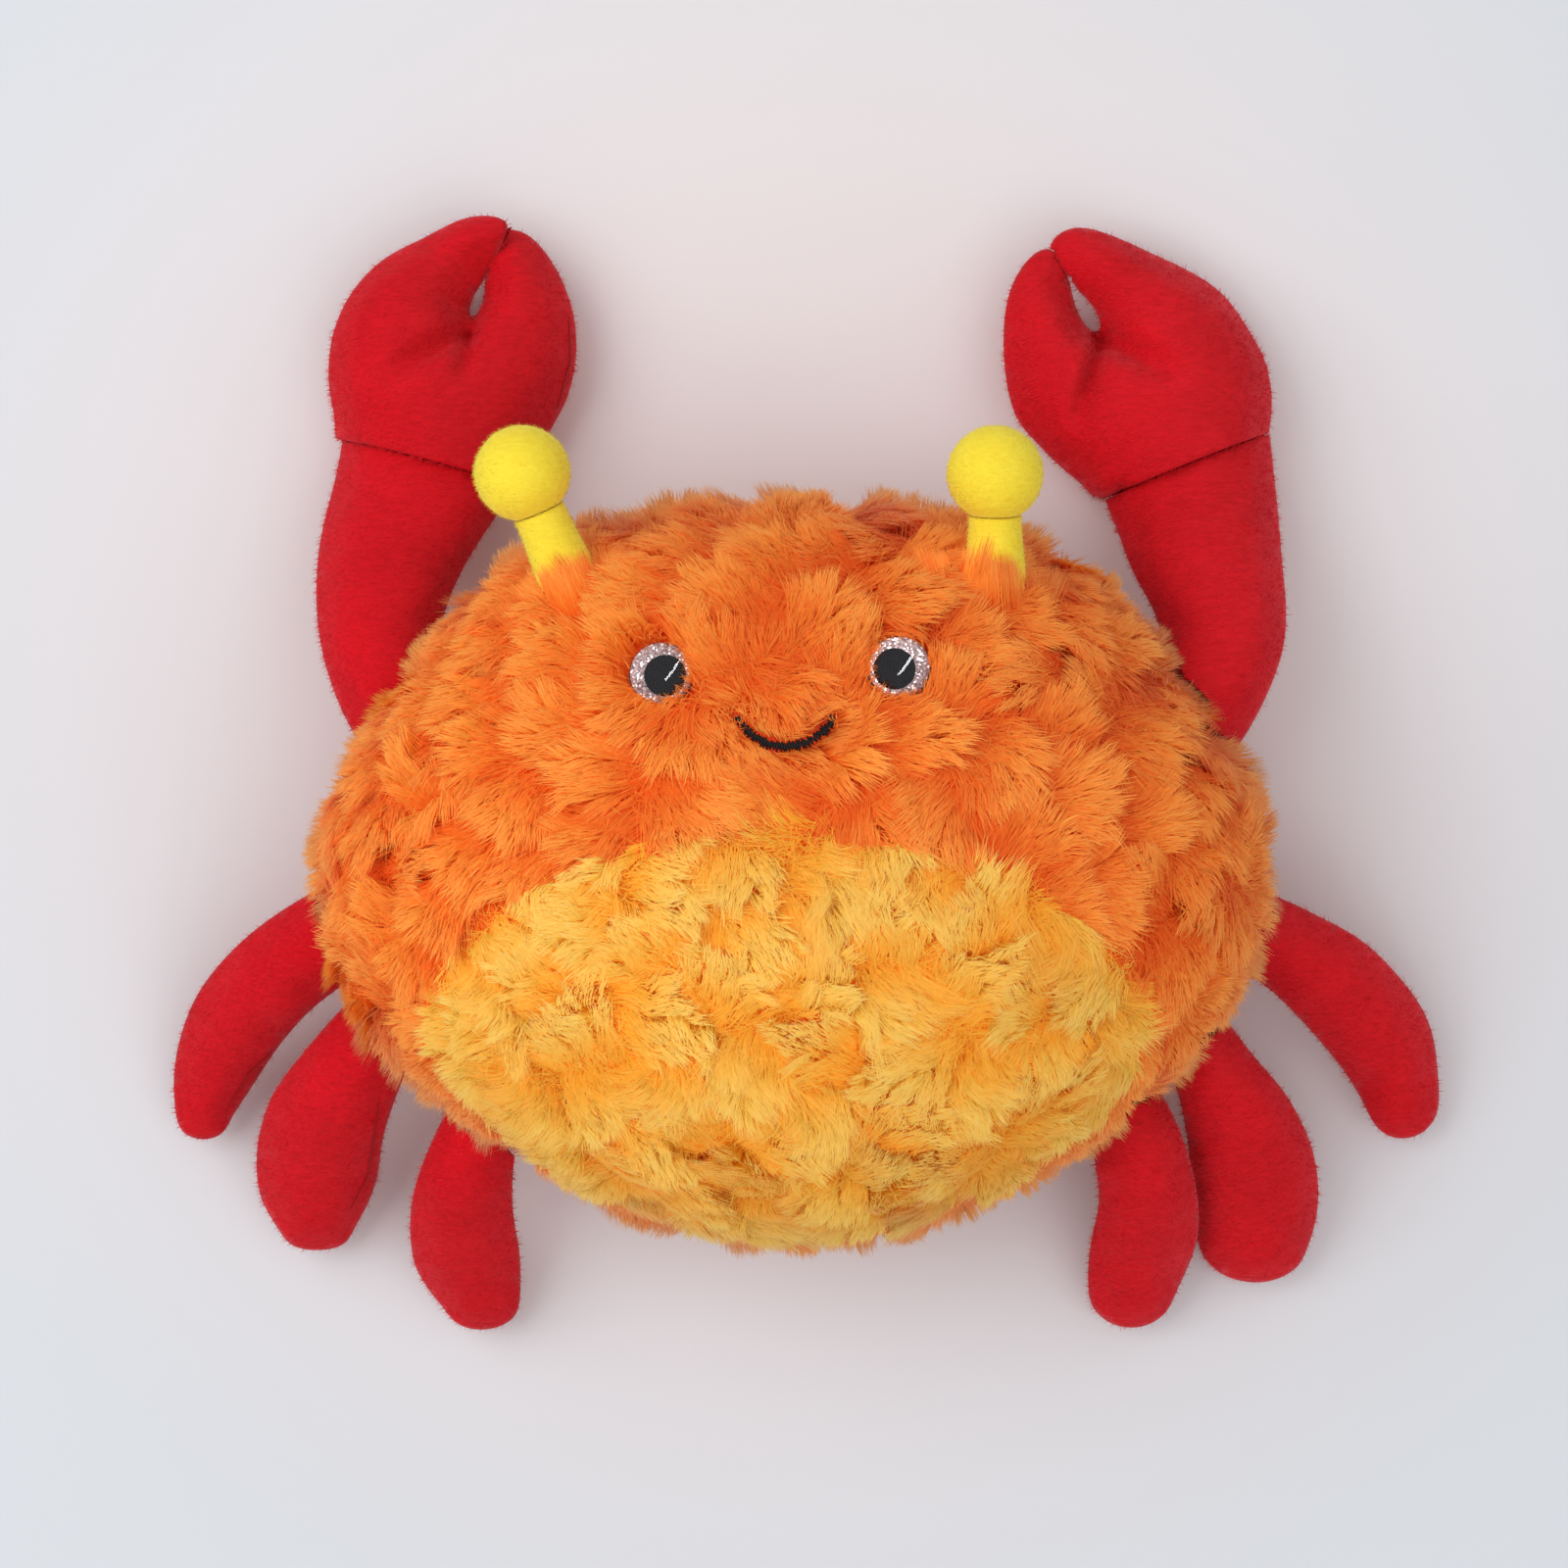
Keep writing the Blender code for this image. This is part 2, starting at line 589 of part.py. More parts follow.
def add_eye(side, materials, toy, face_panel, filling):
    placement = eye_placement(*EYES[side])
    hole = SHANK_RADIUS + GAP
    glitter_top = -EYE_SINK - GAP
    seat = glitter_top - GLITTER_THICKNESS - GAP
    washer_top = -FUR_THICKNESS - WASHER_ALLOWANCE
    shank_end = -EYE_SINK - SHANK_LENGTH
    washer = ring_profile(WASHER_RADIUS, hole, washer_top, WASHER_THICKNESS)
    glitter = ring_profile(GLITTER_RADIUS, hole, glitter_top, GLITTER_THICKNESS)
    pieces = [
        turned("eye_dome_" + side, dome_profile(), materials["clear"], toy, 24),
        turned("eye_pupil_" + side, pupil_profile(), materials["black"], toy, 16),
        turned("eye_glitter_" + side, glitter, materials["silver"], toy, 24),
        turned("eye_washer_" + side, washer, materials["black"], toy, 16),
    ]
    well_radius = GLITTER_RADIUS + GAP
    above = seat + EYE_HEIGHT + FUR_THICKNESS
    deep = shank_end - FUR_THICKNESS
    well_profile = [(0, above), (well_radius, above), (well_radius, seat), (0, seat)]
    well = turned("eye_well_" + side, well_profile, None, toy, 24)
    hole_profile = [(0, above), (hole, above), (hole, deep), (0, deep)]
    shank_hole = turned("eye_hole_" + side, hole_profile, None, toy, 16)
    pocket_radius = WASHER_RADIUS + 2 * GAP
    pocket_top = -FUR_THICKNESS / 2
    pocket_end = shank_end - GAP
    pocket = [(0, pocket_top), (pocket_radius, pocket_top), (pocket_radius, pocket_end), (0, pocket_end)]
    filling_pocket = turned("eye_pocket_" + side, pocket, None, toy, 16)
    for obj in (*pieces, well, shank_hole, filling_pocket):
        obj.matrix_local = placement
    for cutter in (well, shank_hole):
        cut(face_panel, as_cutter(cutter))
    cut(filling, as_cutter(filling_pocket))


def mouth_path(count):
    """Middle of the smile's thread over the face, from the body's middle."""
    path = []
    for i in range(count):
        angle = math.radians(MOUTH_HALF_ANGLE) * (2 * i / (count - 1) - 1)
        x = MOUTH_CENTRE[0] + MOUTH_ARC_RADIUS * math.sin(angle)
        y = MOUTH_CENTRE[1] - MOUTH_ARC_RADIUS * math.cos(angle)
        path.append((x, y, face_height(x, y) - MOUTH_SINK))
    return path


def add_mouth(material, toy, face_panel):
    count = 2 * MOUTH_STITCHES + 1
    radii = [MOUTH_THREAD_RADIUS * (1 - STITCH_RELIEF_SHARE * (i % 2)) for i in range(count)]
    mouth = swept("mouth_stitch", mouth_path(count), radii, 6, material, toy)
    steps = 17
    path = np.array(mouth_path(steps))
    for tip, neighbour in ((0, 1), (-1, -2)):
        outward = path[tip] - path[neighbour]
        path[tip] += outward / np.linalg.norm(outward) * GAP
    groove = swept("mouth_groove", path, [MOUTH_THREAD_RADIUS + GAP] * steps, 8, None, toy)
    for obj in (mouth, groove):
        obj.location = (0, 0, SEAM_HEIGHT)
    cut(face_panel, as_cutter(groove))


# Antennae


def add_antenna(side, material, toy, body_cutter):
    foot_x, foot_y = ANTENNAE[side]["foot"]
    reach = Vector(ANTENNAE[side]["reach"])
    foot = Vector((foot_x, foot_y, SEAM_HEIGHT + face_height(foot_x, foot_y)))
    length = reach.length
    neck = length - math.sqrt(BALL_RADIUS**2 - STALK_TOP_RADIUS**2)
    stalk = turned(
        "antenna_stalk_" + side,
        [(0, -STALK_ROOT), (STALK_FOOT_RADIUS, -STALK_ROOT), (STALK_FOOT_RADIUS, 0),
         (STALK_TOP_RADIUS, neck * 0.7), (STALK_TOP_RADIUS, neck - GAP), (0, neck - GAP)],
        material, toy, 18,
    )
    steps = 9
    first = math.asin(STALK_TOP_RADIUS / BALL_RADIUS)
    arc = [first + (math.pi - first) * i / steps for i in range(steps)]
    ball = turned(
        "antenna_ball_" + side,
        [(0, neck)]
        + [(BALL_RADIUS * math.sin(a), length - BALL_RADIUS * math.cos(a)) for a in arc]
        + [(0, length + BALL_RADIUS)],
        material, toy, 20,
    )
    for obj in (stalk, ball):
        obj.matrix_local = Matrix.Translation(foot) @ reach.to_track_quat("Z", "Y").to_matrix().to_4x4()
    cut(stalk, body_cutter)


# Stuffed limbs


def curve_through(points, step):
    """A smooth open line through the points, cut into pieces of about one step."""
    points = np.asarray(points, float)
    padded = np.concatenate([[2 * points[0] - points[1]], points, [2 * points[-1] - points[-2]]])
    line = [points[0]]
    for a, b, c, d in zip(padded, padded[1:], padded[2:], padded[3:]):
        pieces = max(1, round(np.linalg.norm(c - b) / step))
        for i in range(1, pieces + 1):
            t = i / pieces
            bend = (2 * a - 5 * b + 4 * c - d) * t**2 + (3 * b - a - 3 * c + d) * t**3
            line.append(b + 0.5 * ((c - a) * t + bend))
    return np.array(line)


def straight(start, end, step):
    """The points between two ends, without the ends."""
    pieces = max(2, round(np.linalg.norm(end - start) / step))
    return np.array([start + (end - start) * i / pieces for i in range(1, pieces)])


def sides_of(stations):
    """The two edges of a limb, from its middle line and half widths."""
    stations = np.array(stations, float) * SQUARE_WIDTH
    line, half = stations[:, :2], stations[:, 2:]
    ahead = np.gradient(line, axis=0)
    ahead /= np.linalg.norm(ahead, axis=1)[:, None]
    across = np.stack([-ahead[:, 1], ahead[:, 0]], 1)
    return line + half * across, line - half * across


def rounded_end(middle, half, tip):
    """Points round a blunt end, from the left side over the tip to the right side."""
    ahead = tip - middle
    across = np.array([-ahead[1], ahead[0]]) / np.linalg.norm(ahead) * half
    shares = [(math.sin(a) ** (2 / END_POWER), math.cos(a) ** (2 / END_POWER)) for a in (0.7, 1.2)]
    left = [middle + forth * ahead + aside * across for forth, aside in shares]
    right = [middle + forth * ahead - aside * across for forth, aside in reversed(shares)]
    return [*left, tip, *right]


def stuffed_height(points, triangles, sewn):
    """Half the thickness of a stuffed casing over its flat pattern, nothing along its sewn edge.

    It is the root of the height of a membrane that is held at the sewn edge and blown up from below.
    """
    count = len(points)
    stiffness = np.zeros((count, count))
    load = np.zeros(count)
    for triangle in triangles:
        corners = points[triangle]
        edges = np.roll(corners, -1, axis=0) - np.roll(corners, 1, axis=0)
        area = abs(np.linalg.det(corners[1:] - corners[0])) / 2
        stiffness[np.ix_(triangle, triangle)] += edges @ edges.T / (4 * area)
        load[triangle] += area / 3
    free = np.setdiff1d(np.arange(count), sewn)
    height = np.zeros(count)
    height[free] = np.linalg.solve(stiffness[np.ix_(free, free)], load[free])
    return FULLNESS_RATIO * np.sqrt(4 * np.maximum(height, 0))


def stuffed_limb(name, lines, middle_height, material, toy):
    """A stuffed piece from its flat outline. lines alternates sewn edges and open ends, as
    (points, is_open); an open end lists only the points between its neighbours' ends."""
    loop = np.concatenate([line for line, _ in lines])
    is_open = np.concatenate([np.full(len(line), open_end) for line, open_end in lines])
    points, triangles = fill_layout([loop], LIMB_STEP)
    sewn = np.flatnonzero(~is_open)
    half = stuffed_height(points, triangles, sewn)
    count = len(points)
    lower = np.arange(count)
    raised = np.setdiff1d(np.arange(count), sewn)
    lower[raised] = count + np.arange(len(raised))
    middle = middle_height(points)
    top = np.column_stack([points, middle + half])
    bottom = np.column_stack([points, middle - half])[raised]
    vertices = np.concatenate([top, bottom])
    vertices[:, 2] = np.maximum(vertices[:, 2], 0)
    faces = [tuple(f) for f in triangles] + [tuple(lower[i] for i in reversed(f)) for f in triangles]
    for i in np.flatnonzero(is_open):
        before, after = (i - 1) % len(loop), (i + 1) % len(loop)
        faces.append(tuple(dict.fromkeys((before, i, lower[i], lower[before]))))
        if not is_open[after]:
            faces.append((i, after, lower[i]))
    return add_object(name, vertices, faces, material, toy)


def sloping(root, end, root_height, end_height, lean):
    """Height of a limb's seam plane: from the body's seam down to the end, leaning to one side."""
    axis = np.array(end) - np.array(root)
    length = np.linalg.norm(axis)
    axis = axis / length

    def height(points):
        along = (points - root) @ axis / length
        drop = np.clip(along, 0, 1)
        drop = drop * drop * (3 - 2 * drop)
        sideways = (points - root) @ np.array([-axis[1], axis[0]])
        return root_height + (end_height - root_height) * drop + lean * np.clip(along, 0, 1) * sideways

    return height


def add_leg(name, material, toy, body_cutter):
    place, lean, stations, tip = LEGS[name]
    root = on_body(place)
    left, right = sides_of(stations)
    tip_point = np.array(tip) * SQUARE_WIDTH
    last = np.array(stations[-1]) * SQUARE_WIDTH
    end = rounded_end(last[:2], last[2], tip_point)
    edge = curve_through([*left, *end, *right[::-1]], LIMB_STEP) + root
    height = sloping(root, root + tip_point, LEG_ROOT_HEIGHT, LEG_TIP_HEIGHT, lean)
    lines = [(edge, False), (straight(edge[-1], edge[0], LIMB_STEP), True)]
    leg = stuffed_limb(name, lines, height, material, toy)
    cut(leg, body_cutter)


def wrist_ends(side):
    """The ends of the line on which an arm and its claw are sewn together, outer end first."""
    place, _, _ = ARMS["arm_" + side]
    wrist, _, edge = CLAWS["claw_" + side]
    root = on_body(place)
    middle = root + np.array(wrist) * SQUARE_WIDTH
    return root, middle, middle + np.array(edge[0]) * SQUARE_WIDTH, middle + np.array(edge[-1]) * SQUARE_WIDTH


def add_arm_and_claw(side, material, toy, body_cutter):
    _, arm_lean, stations = ARMS["arm_" + side]
    _, claw_lean, claw_edge = CLAWS["claw_" + side]
    root, middle, outer_end, inner_end = wrist_ends(side)
    line = inner_end - outer_end
    to_claw = np.array([-line[1], line[0]]) / np.linalg.norm(line)
    to_claw *= math.copysign(1, to_claw @ (middle - root))
    height = sloping(root, middle, ARM_ROOT_HEIGHT, WRIST_HEIGHT, arm_lean)
    edges = sides_of(stations)
    outer, inner = edges if side == "left" else edges[::-1]
    back = -to_claw * GAP / 2
    outer_side = curve_through([*(outer + root), outer_end + back], LIMB_STEP)
    inner_side = curve_through([inner_end + back, *(inner + root)[::-1]], LIMB_STEP)
    lines = [
        (outer_side, False),
        (straight(outer_side[-1], inner_side[0], LIMB_STEP), True),
        (inner_side, False),
        (straight(inner_side[-1], outer_side[0], LIMB_STEP), True),
    ]
    arm = stuffed_limb("arm_" + side, lines, height, material, toy)
    cut(arm, body_cutter)
    edge = curve_through(np.array(claw_edge) * SQUARE_WIDTH + middle, LIMB_STEP) + to_claw * GAP / 2

    def claw_height(points):
        sideways = (points - middle) @ (line / np.linalg.norm(line))
        along = np.clip((points - middle) @ to_claw / BALL_RADIUS, 0, 1)
        return height(points) * (1 - along) + along * (WRIST_HEIGHT + claw_lean * sideways)

    lines = [(edge, False), (straight(edge[-1], edge[0], LIMB_STEP), True)]
    stuffed_limb("claw_" + side, lines, claw_height, material, toy)


# The whole toy


def centre_on_origin(toy):
    """Moves the toy so that the middle of its box is over the origin and its lowest point at zero."""
    bpy.context.view_layer.update()
    graph = bpy.context.evaluated_depsgraph_get()
    corners = []
    for obj in toy.children:
        if not obj.hide_render:
            shown = obj.evaluated_get(graph)
            corners += [shown.matrix_world @ Vector(corner) for corner in shown.bound_box]
    low, high = np.min(corners, axis=0), np.max(corners, axis=0)
    toy.location = (-(low[0] + high[0]) / 2, -(low[1] + high[1]) / 2, -low[2])
    bpy.context.view_layer.update()


def main():
    clear_scene()
    toy = bpy.data.objects.new("plush_crab", None)
    bpy.context.scene.collection.objects.link(toy)
    materials = {
        "orange": make_material("orange_fur", ORANGE, 0.9),
        "yellow": make_material("yellow_fur", YELLOW_FUR, 0.9),
        "red": make_material("red_short_pile", RED, 0.85),
        "lemon": make_material("lemon_short_pile", LEMON, 0.85),
        "fibre": make_material("white_fibre", WHITE_FIBRE, 1.0),
        "black": make_material("black_plastic", BLACK, 0.3),
        "thread": make_material("black_thread", BLACK, 0.6),
        "clear": make_material("clear_plastic", CLEAR, 0.05),
        "silver": make_material("silver_glitter", SILVER, 0.35, 0.8),
    }
    locks = lock_layout()
    seam = seam_loop()
    face_panel = fur_panel("face_panel", [seam, belly_loop(GAP / 2)], FRONT, locks, materials["orange"], toy)
    fur_panel("belly_panel", [belly_loop(-GAP / 2)], FRONT, locks, materials["yellow"], toy)
    fur_panel("back_panel", [seam], BACK, locks, materials["orange"], toy)
    filling = whole_body("body_filling", -FUR_THICKNESS - FILLING_CLEARANCE, INNER_STEP, toy)
    filling.data.materials.append(materials["fibre"])
    body_cutter = as_cutter(whole_body("body_envelope", GAP, FUR_STEP, toy, locks))
    for side in ("left", "right"):
        add_eye(side, materials, toy, face_panel, filling)
        add_antenna(side, materials["lemon"], toy, body_cutter)
        add_arm_and_claw(side, materials["red"], toy, body_cutter)
    add_mouth(materials["thread"], toy, face_panel)
    for name in LEGS:
        add_leg(name, materials["red"], toy, body_cutter)
    centre_on_origin(toy)


main()
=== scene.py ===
"""Looks of the plush crab: shaggy fur in locks over the body, short-pile limbs and antennae, glitter eyes
and a stitched smile, seen from straight above as it lies on a pale floor.

Left and right are as seen in the photograph. Lengths are in metres.
"""

import math

import bmesh
import bpy
import numpy as np
from mathutils import Matrix, Vector
from mathutils.bvhtree import BVHTree
from mathutils.kdtree import KDTree


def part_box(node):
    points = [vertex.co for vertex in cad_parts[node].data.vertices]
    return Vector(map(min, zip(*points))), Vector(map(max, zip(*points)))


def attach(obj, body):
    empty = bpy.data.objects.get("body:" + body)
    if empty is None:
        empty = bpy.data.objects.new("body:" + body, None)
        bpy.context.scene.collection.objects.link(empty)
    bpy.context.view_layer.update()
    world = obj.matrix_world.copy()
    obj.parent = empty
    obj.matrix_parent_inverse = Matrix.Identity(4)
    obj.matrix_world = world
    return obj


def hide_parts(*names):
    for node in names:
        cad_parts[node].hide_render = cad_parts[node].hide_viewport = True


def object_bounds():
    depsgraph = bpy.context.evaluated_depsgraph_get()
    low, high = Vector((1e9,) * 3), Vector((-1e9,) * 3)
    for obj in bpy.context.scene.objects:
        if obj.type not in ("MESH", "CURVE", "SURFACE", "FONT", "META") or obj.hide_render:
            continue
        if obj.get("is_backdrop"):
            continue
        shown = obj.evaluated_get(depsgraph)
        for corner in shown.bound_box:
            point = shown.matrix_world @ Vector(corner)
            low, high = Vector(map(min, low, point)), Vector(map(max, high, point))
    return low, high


MM = 0.001

# The body's own dimensions, as on the CAD part
BODY_HALF_WIDTH = 96 * MM
BODY_HALF_HEIGHT = 75 * MM
BODY_FRONT_DEPTH = 58 * MM
BODY_BACK_DEPTH = 48 * MM
BODY_POWER = 2.2
ARM_WAIST_SHARE = 0.085
ARM_WAIST_HEIGHT = 41 * MM
ARM_WAIST_REACH = 19 * MM
LOWER_TAPER = 0.28
BELLY_SIDE_MARGIN = 54 * MM
BELLY_UPPER_MARGIN = 97 * MM
BELLY_LOWER_MARGIN = 12 * MM
BELLY_SHIFT = -2 * MM
FRONT, BACK = 1, -1
LAYOUT_HALF_WIDTH = math.pi / 4 * (BODY_HALF_WIDTH + BODY_FRONT_DEPTH)
LAYOUT_HALF_HEIGHT = math.pi / 4 * (BODY_HALF_HEIGHT + BODY_FRONT_DEPTH)
LAYOUT = np.array([LAYOUT_HALF_WIDTH, LAYOUT_HALF_HEIGHT])

# Locks of fur, as on the CAD part, and the finer ones within them
LOCK_COUNT = 420
LOCK_REACH = 8 * MM
LOCK_FRONT_REACH = 1.45
LOCK_BACK_REACH = 0.75
LOCK_SCATTER = 0.03
LOCK_RELIEF = 2.6 * MM
LOCK_SEED = 7
LOCK_BATCH = 4000
LOCK_ALONG = (-1, 1.6)
LOCK_ACROSS = (-1.4, 1.4)
BRUSHED_FROM = (-3 * MM, 40 * MM)
BRUSHED_SHARE = 0.85
CURLY_SHARE = 0.25
LAY_SCATTER = 0.6
CURLY_MIDDLE = -0.43
CURLY_REACH = (0.65, 0.51)
PILE_RAISE = 0.4
SEAM_REACH = 17 * MM
SEAM_BRISTLE = 1.6 * MM
TRIMMED_DEPTH = 1.5 * MM
TRIMMED_REACH = 9 * MM
# Where the pile stands out further than elsewhere: the place, its reach and the extra height
FLUFF = (((-92 * MM, -30 * MM, 6 * MM), 15 * MM, 4.5 * MM),)
# Wisps within the locks: how many, and how much their turn, height and tone differ
WISP_COUNT = 6000
WISP_SPREADS = (1, 0.4 * MM, 0.07)
LOOSE_SHARE = 0.12
LOOSE_IN_PARTINGS = 0.35
LOOSE_LENGTH = 0.7
LOOSE_DEPTH = 0.9 * MM
BACKING_DEPTH = 6.0 * MM
BACKING_STEPS = 64
BACKING_RINGS = 26
STRAND_LENGTH = 11.5 * MM
STRAND_WIDTH = 0.30 * MM
BACK_WIDENING = 2.2
WIDTH_RANGE = (0.75, 1.25)
TONE_SPREAD = 0.002
DROOP = 1 * MM
GATHER = 0.4
LEAST_RISE = 1.5 * MM
LEAST_HEIGHT = 0.15 * MM
# Points along a strand, as shares of the way from its root to its tip
RING_SHARES = (0, 0.55, 1)
FACE_STRANDS = 130000
BELLY_STRANDS = 66000
BACK_STRANDS = 30000

EYES = {"left": (-26.3 * MM, 39.8 * MM), "right": (20.6 * MM, 41.0 * MM)}
EYE_CLEARANCE = 5.2 * MM
EYE_RADIUS = 6 * MM
EYE_RIM = 1 * MM
EYE_HEIGHT = 5 * MM
EYE_SINK = 3.8 * MM
EYE_AIM_SHARE = 0.5
DOME_STEPS = 14
PUPIL_RADIUS = 3.4 * MM
GLITTER_RADIUS = 6.2 * MM
PUPIL_SHIFT = {"left": (0.7 * MM, -0.4 * MM), "right": (-0.7 * MM, -0.3 * MM)}
MOUTH_CENTRE = (-1.7 * MM, 35.2 * MM)
MOUTH_ARC_RADIUS = 10.4 * MM
MOUTH_HALF_ANGLE = 63
MOUTH_THREAD_RADIUS = 1.1 * MM
MOUTH_BARS = 48
THREAD_RADIUS = 0.27 * MM
THREAD_ARCH = 0.9 * MM
THREAD_SINK = 0.7 * MM
TUBE_SIDES = 6
BAR_STEPS = 7
ANTENNAE = {
    "left": ((-44.9 * MM, 58.5 * MM), (-8.9 * MM, 20.6 * MM, 4 * MM)),
    "right": ((39.9 * MM, 59.5 * MM), (-0.2 * MM, 19.4 * MM, 4 * MM)),
}
ANTENNA_CLEARANCE = 5.2 * MM

# Creases that the slit's end pulls into each claw: start, end, depth and width, from the body's middle
PALM_CREASES = {
    "claw_left": [((-68, 112), (-69, 104), 5.5, 1.8), ((-70, 112), (-84, 103), 5.5, 2.6)],
    "claw_right": [((64.5, 110.5), (59.5, 93.5), 6.0, 2.0), ((66, 111), (77, 104.5), 7.5, 3.0)],
}
# Where the two finger tips of each claw press together, and the way from the slit's end to there
FINGER_TIPS = {"claw_left": ((-62.7, 131.9), (0.3, 1)), "claw_right": ((55.8, 129.0), (-0.6, 1))}
FINGER_PINCH = 1.1 * MM
FINGER_REACH = (9 * MM, 4 * MM)
# How far the tip of a finger is folded over the other one, and over how much of its length and width
FINGER_FOLD = {"claw_left": (2.9 * MM, 2.4 * MM, 5 * MM)}
FOLD_LENGTH = (-7 * MM, -1 * MM)
FOLD_WIDTH = 9 * MM
# Corners of the claws' outlines, how far they are moved out or in, and over what reach
CORNERS = {
    "claw_left": (
        ((-95 * MM, 90 * MM), (-1.5 * MM, 0.4 * MM, 0), 4 * MM),
        ((-60 * MM, 137 * MM), (-1.1 * MM, -0.8 * MM, 0), 1.5 * MM),
    ),
    "claw_right": (((67.9 * MM, 78.9 * MM), (-2.3 * MM, -1 * MM, 0), 5 * MM),),
}
# Lines along which the two sides of a limb are sewn, where the seam shows on its upper side
SEAMS = {
    "leg_left_upper": ((-109, -38), (-114.5, -43), (-120.5, -52)),
    "leg_left_middle": ((-85.5, -47), (-87.2, -55), (-89.6, -65), (-93.5, -72)),
    "claw_left": ((-47.5, 116.5), (-47.2, 107), (-50, 97)),
}
LIMB_HAIRS = 90000
ANTENNA_HAIRS = 15000
NAP_LENGTH = {"red_short_pile": 1.75 * MM, "lemon_short_pile": 0.9 * MM}
NAP_WIDTH = 0.25 * MM
NAP_WAY = (-1, -0.25, 0)
NAP_STRETCH = (0.35, 1.5, 1)
NOISE_DETAIL = 3
NAP_SINK = 0.15 * MM
NAP_LEAST_HEIGHT = 0.1 * MM
SEAM_RADIUS = 0.3 * MM
SEAM_STEPS = 60
SEAM_ANGLE = 1.1

# Hairs that stand up in front of each stalk: how far over its foot they reach, from its left to its right
TUFT_HAIRS = 2200
TUFT_CLUMPS = 44
TUFT_HALF_WIDTH = 12 * MM
TUFT_COVER = {
    "left": ((-6.6 * MM, -2.5 * MM, 4 * MM), (8 * MM, 5.5 * MM, 6 * MM)),
    "right": ((-4 * MM, 3.4 * MM, 7 * MM), (7 * MM, 5 * MM, 2 * MM)),
}
TUFT_SINK = 4 * MM
STALK_RADIUS = 5.6 * MM
# Hairs that lie over the edge of each eye, and from which way they come, in degrees from the right
LASHES = 110
LASH_TURNS = {"left": (15, 48), "right": (160, 50)}
LASH_LENGTH = 1.9 * MM
# Points along such a hair: the share of its length, and its height over the rim or the pile in mm
LASH_POINTS = ((0, -1.5), (0.45, 0.2), (1, 0.9))
SMILE_END_HAIRS = 16
SMILE_END_POINTS = ((0, -0.6), (0.45, 0.7), (1, 0.9))
FINE_WIDTH = 0.45 * STRAND_WIDTH

# Camera: straight above the toy, with the photograph's framing
CAMERA_OFFSET = (-2 * MM, 17.6 * MM)
CAMERA_HEIGHT = 0.998
LAMP_WAY = (0.63, 0.78, 0)
LAMP_AIM = (0, 0, 0.04)
# Lamps: name, place, power, width, length, and whether it shows in gloss alone or lights alone
LAMPS = (
    ("key_light", (-0.8, 0.25, 1.15), 9.2, 1.1, 1.1, False),
    ("fill_light", (0.35, -0.5, 1.4), 5.2, 1.2, 1.2, False),
    ("streak_light", (0.27, 0.24, 0.6), 4, 0.065, 0.9, True),
)
WORLD_STRENGTH = 0.58
FLOOR_HALF_SIZE = 3.0
PALE_FLOOR = (0.675, 0.705, 0.745)
# Painted bounce light: the floor painted pinker round the toy, as if lit by light thrown back from its red
# and orange cloth, fading to the pale floor over the reach
PAINTED_BOUNCE_FLOOR = (0.79, 0.74, 0.75)
PAINTED_BOUNCE_MIDDLE = (0, 30 * MM, 0)
PAINTED_BOUNCE_REACH = 0.22
SENSOR_WIDTH = 36
VIEW_WIDTH = 0.320
VIEW_HEIGHT_ABOVE_FLOOR = 0.048

# Colours of strands from root to tip: partly the pile's own colour, partly painted shade at the roots and
# painted highlight at the tips. In the body's fur each strand mixes the deep and the pale set by its tone,
# which is partly random and partly painted shade in the gaps between locks and painted light on their fronts.
ORANGE_DEEP_SHADED = ((0.62, 0.035, 0.002), (0.72, 0.09, 0.006), (0.78, 0.15, 0.015))
ORANGE_PALE_LIT = ((0.78, 0.10, 0.005), (0.88, 0.25, 0.023), (0.94, 0.43, 0.09))
YELLOW_DEEP_SHADED = ((0.79, 0.17, 0.004), (0.83, 0.315, 0.016), (0.85, 0.45, 0.046))
YELLOW_PALE_LIT = ((0.82, 0.315, 0.014), (0.86, 0.52, 0.064), (0.88, 0.65, 0.20))
RED_NAP = ((0.50, 0.003, 0.008), (0.64, 0.006, 0.014), (0.82, 0.028, 0.042))
LEMON_NAP = ((0.84, 0.50, 0.01), (0.94, 0.76, 0.05), (0.98, 0.86, 0.12))
RED = (0.665, 0.005, 0.013)
RED_SHADE = (0.49, 0.0025, 0.008)
RED_RIM = (1.0, 0.16, 0.19)
LEMON = (0.93, 0.74, 0.05)
LEMON_SHADE = (0.86, 0.62, 0.03)
LEMON_RIM = (1.0, 0.95, 0.3)
# Painted shade of the seams' grooves: a thread darker than the cloth
SEAM_PAINTED_SHADE = (0.34, 0.002, 0.006)
BACKING_ORANGE = (0.9, 0.08, 0.003)
BACKING_YELLOW = (1.0, 0.2, 0.003)
# Glitter flakes from dark to pale, and white for one in ten: painted glints and reflections of flakes turned
# to and away from the light
FLAKE_COLOURS_AND_GLINTS = (
    (0.0, (0.10, 0.045, 0.042)), (0.5, (0.24, 0.15, 0.15)), (0.84, (0.38, 0.28, 0.29)), (0.9, (1, 1, 1)),
)
FLAKE_SCALE = 3600


# Shared body surface, in coordinates from the body's middle


def half_width(y):
    waist = ARM_WAIST_SHARE * np.exp(-(((y - ARM_WAIST_HEIGHT) / ARM_WAIST_REACH) ** 2))
    taper = LOWER_TAPER * (np.minimum(y, 0) / BODY_HALF_HEIGHT) ** 2
    return BODY_HALF_WIDTH * (1 - waist - taper)


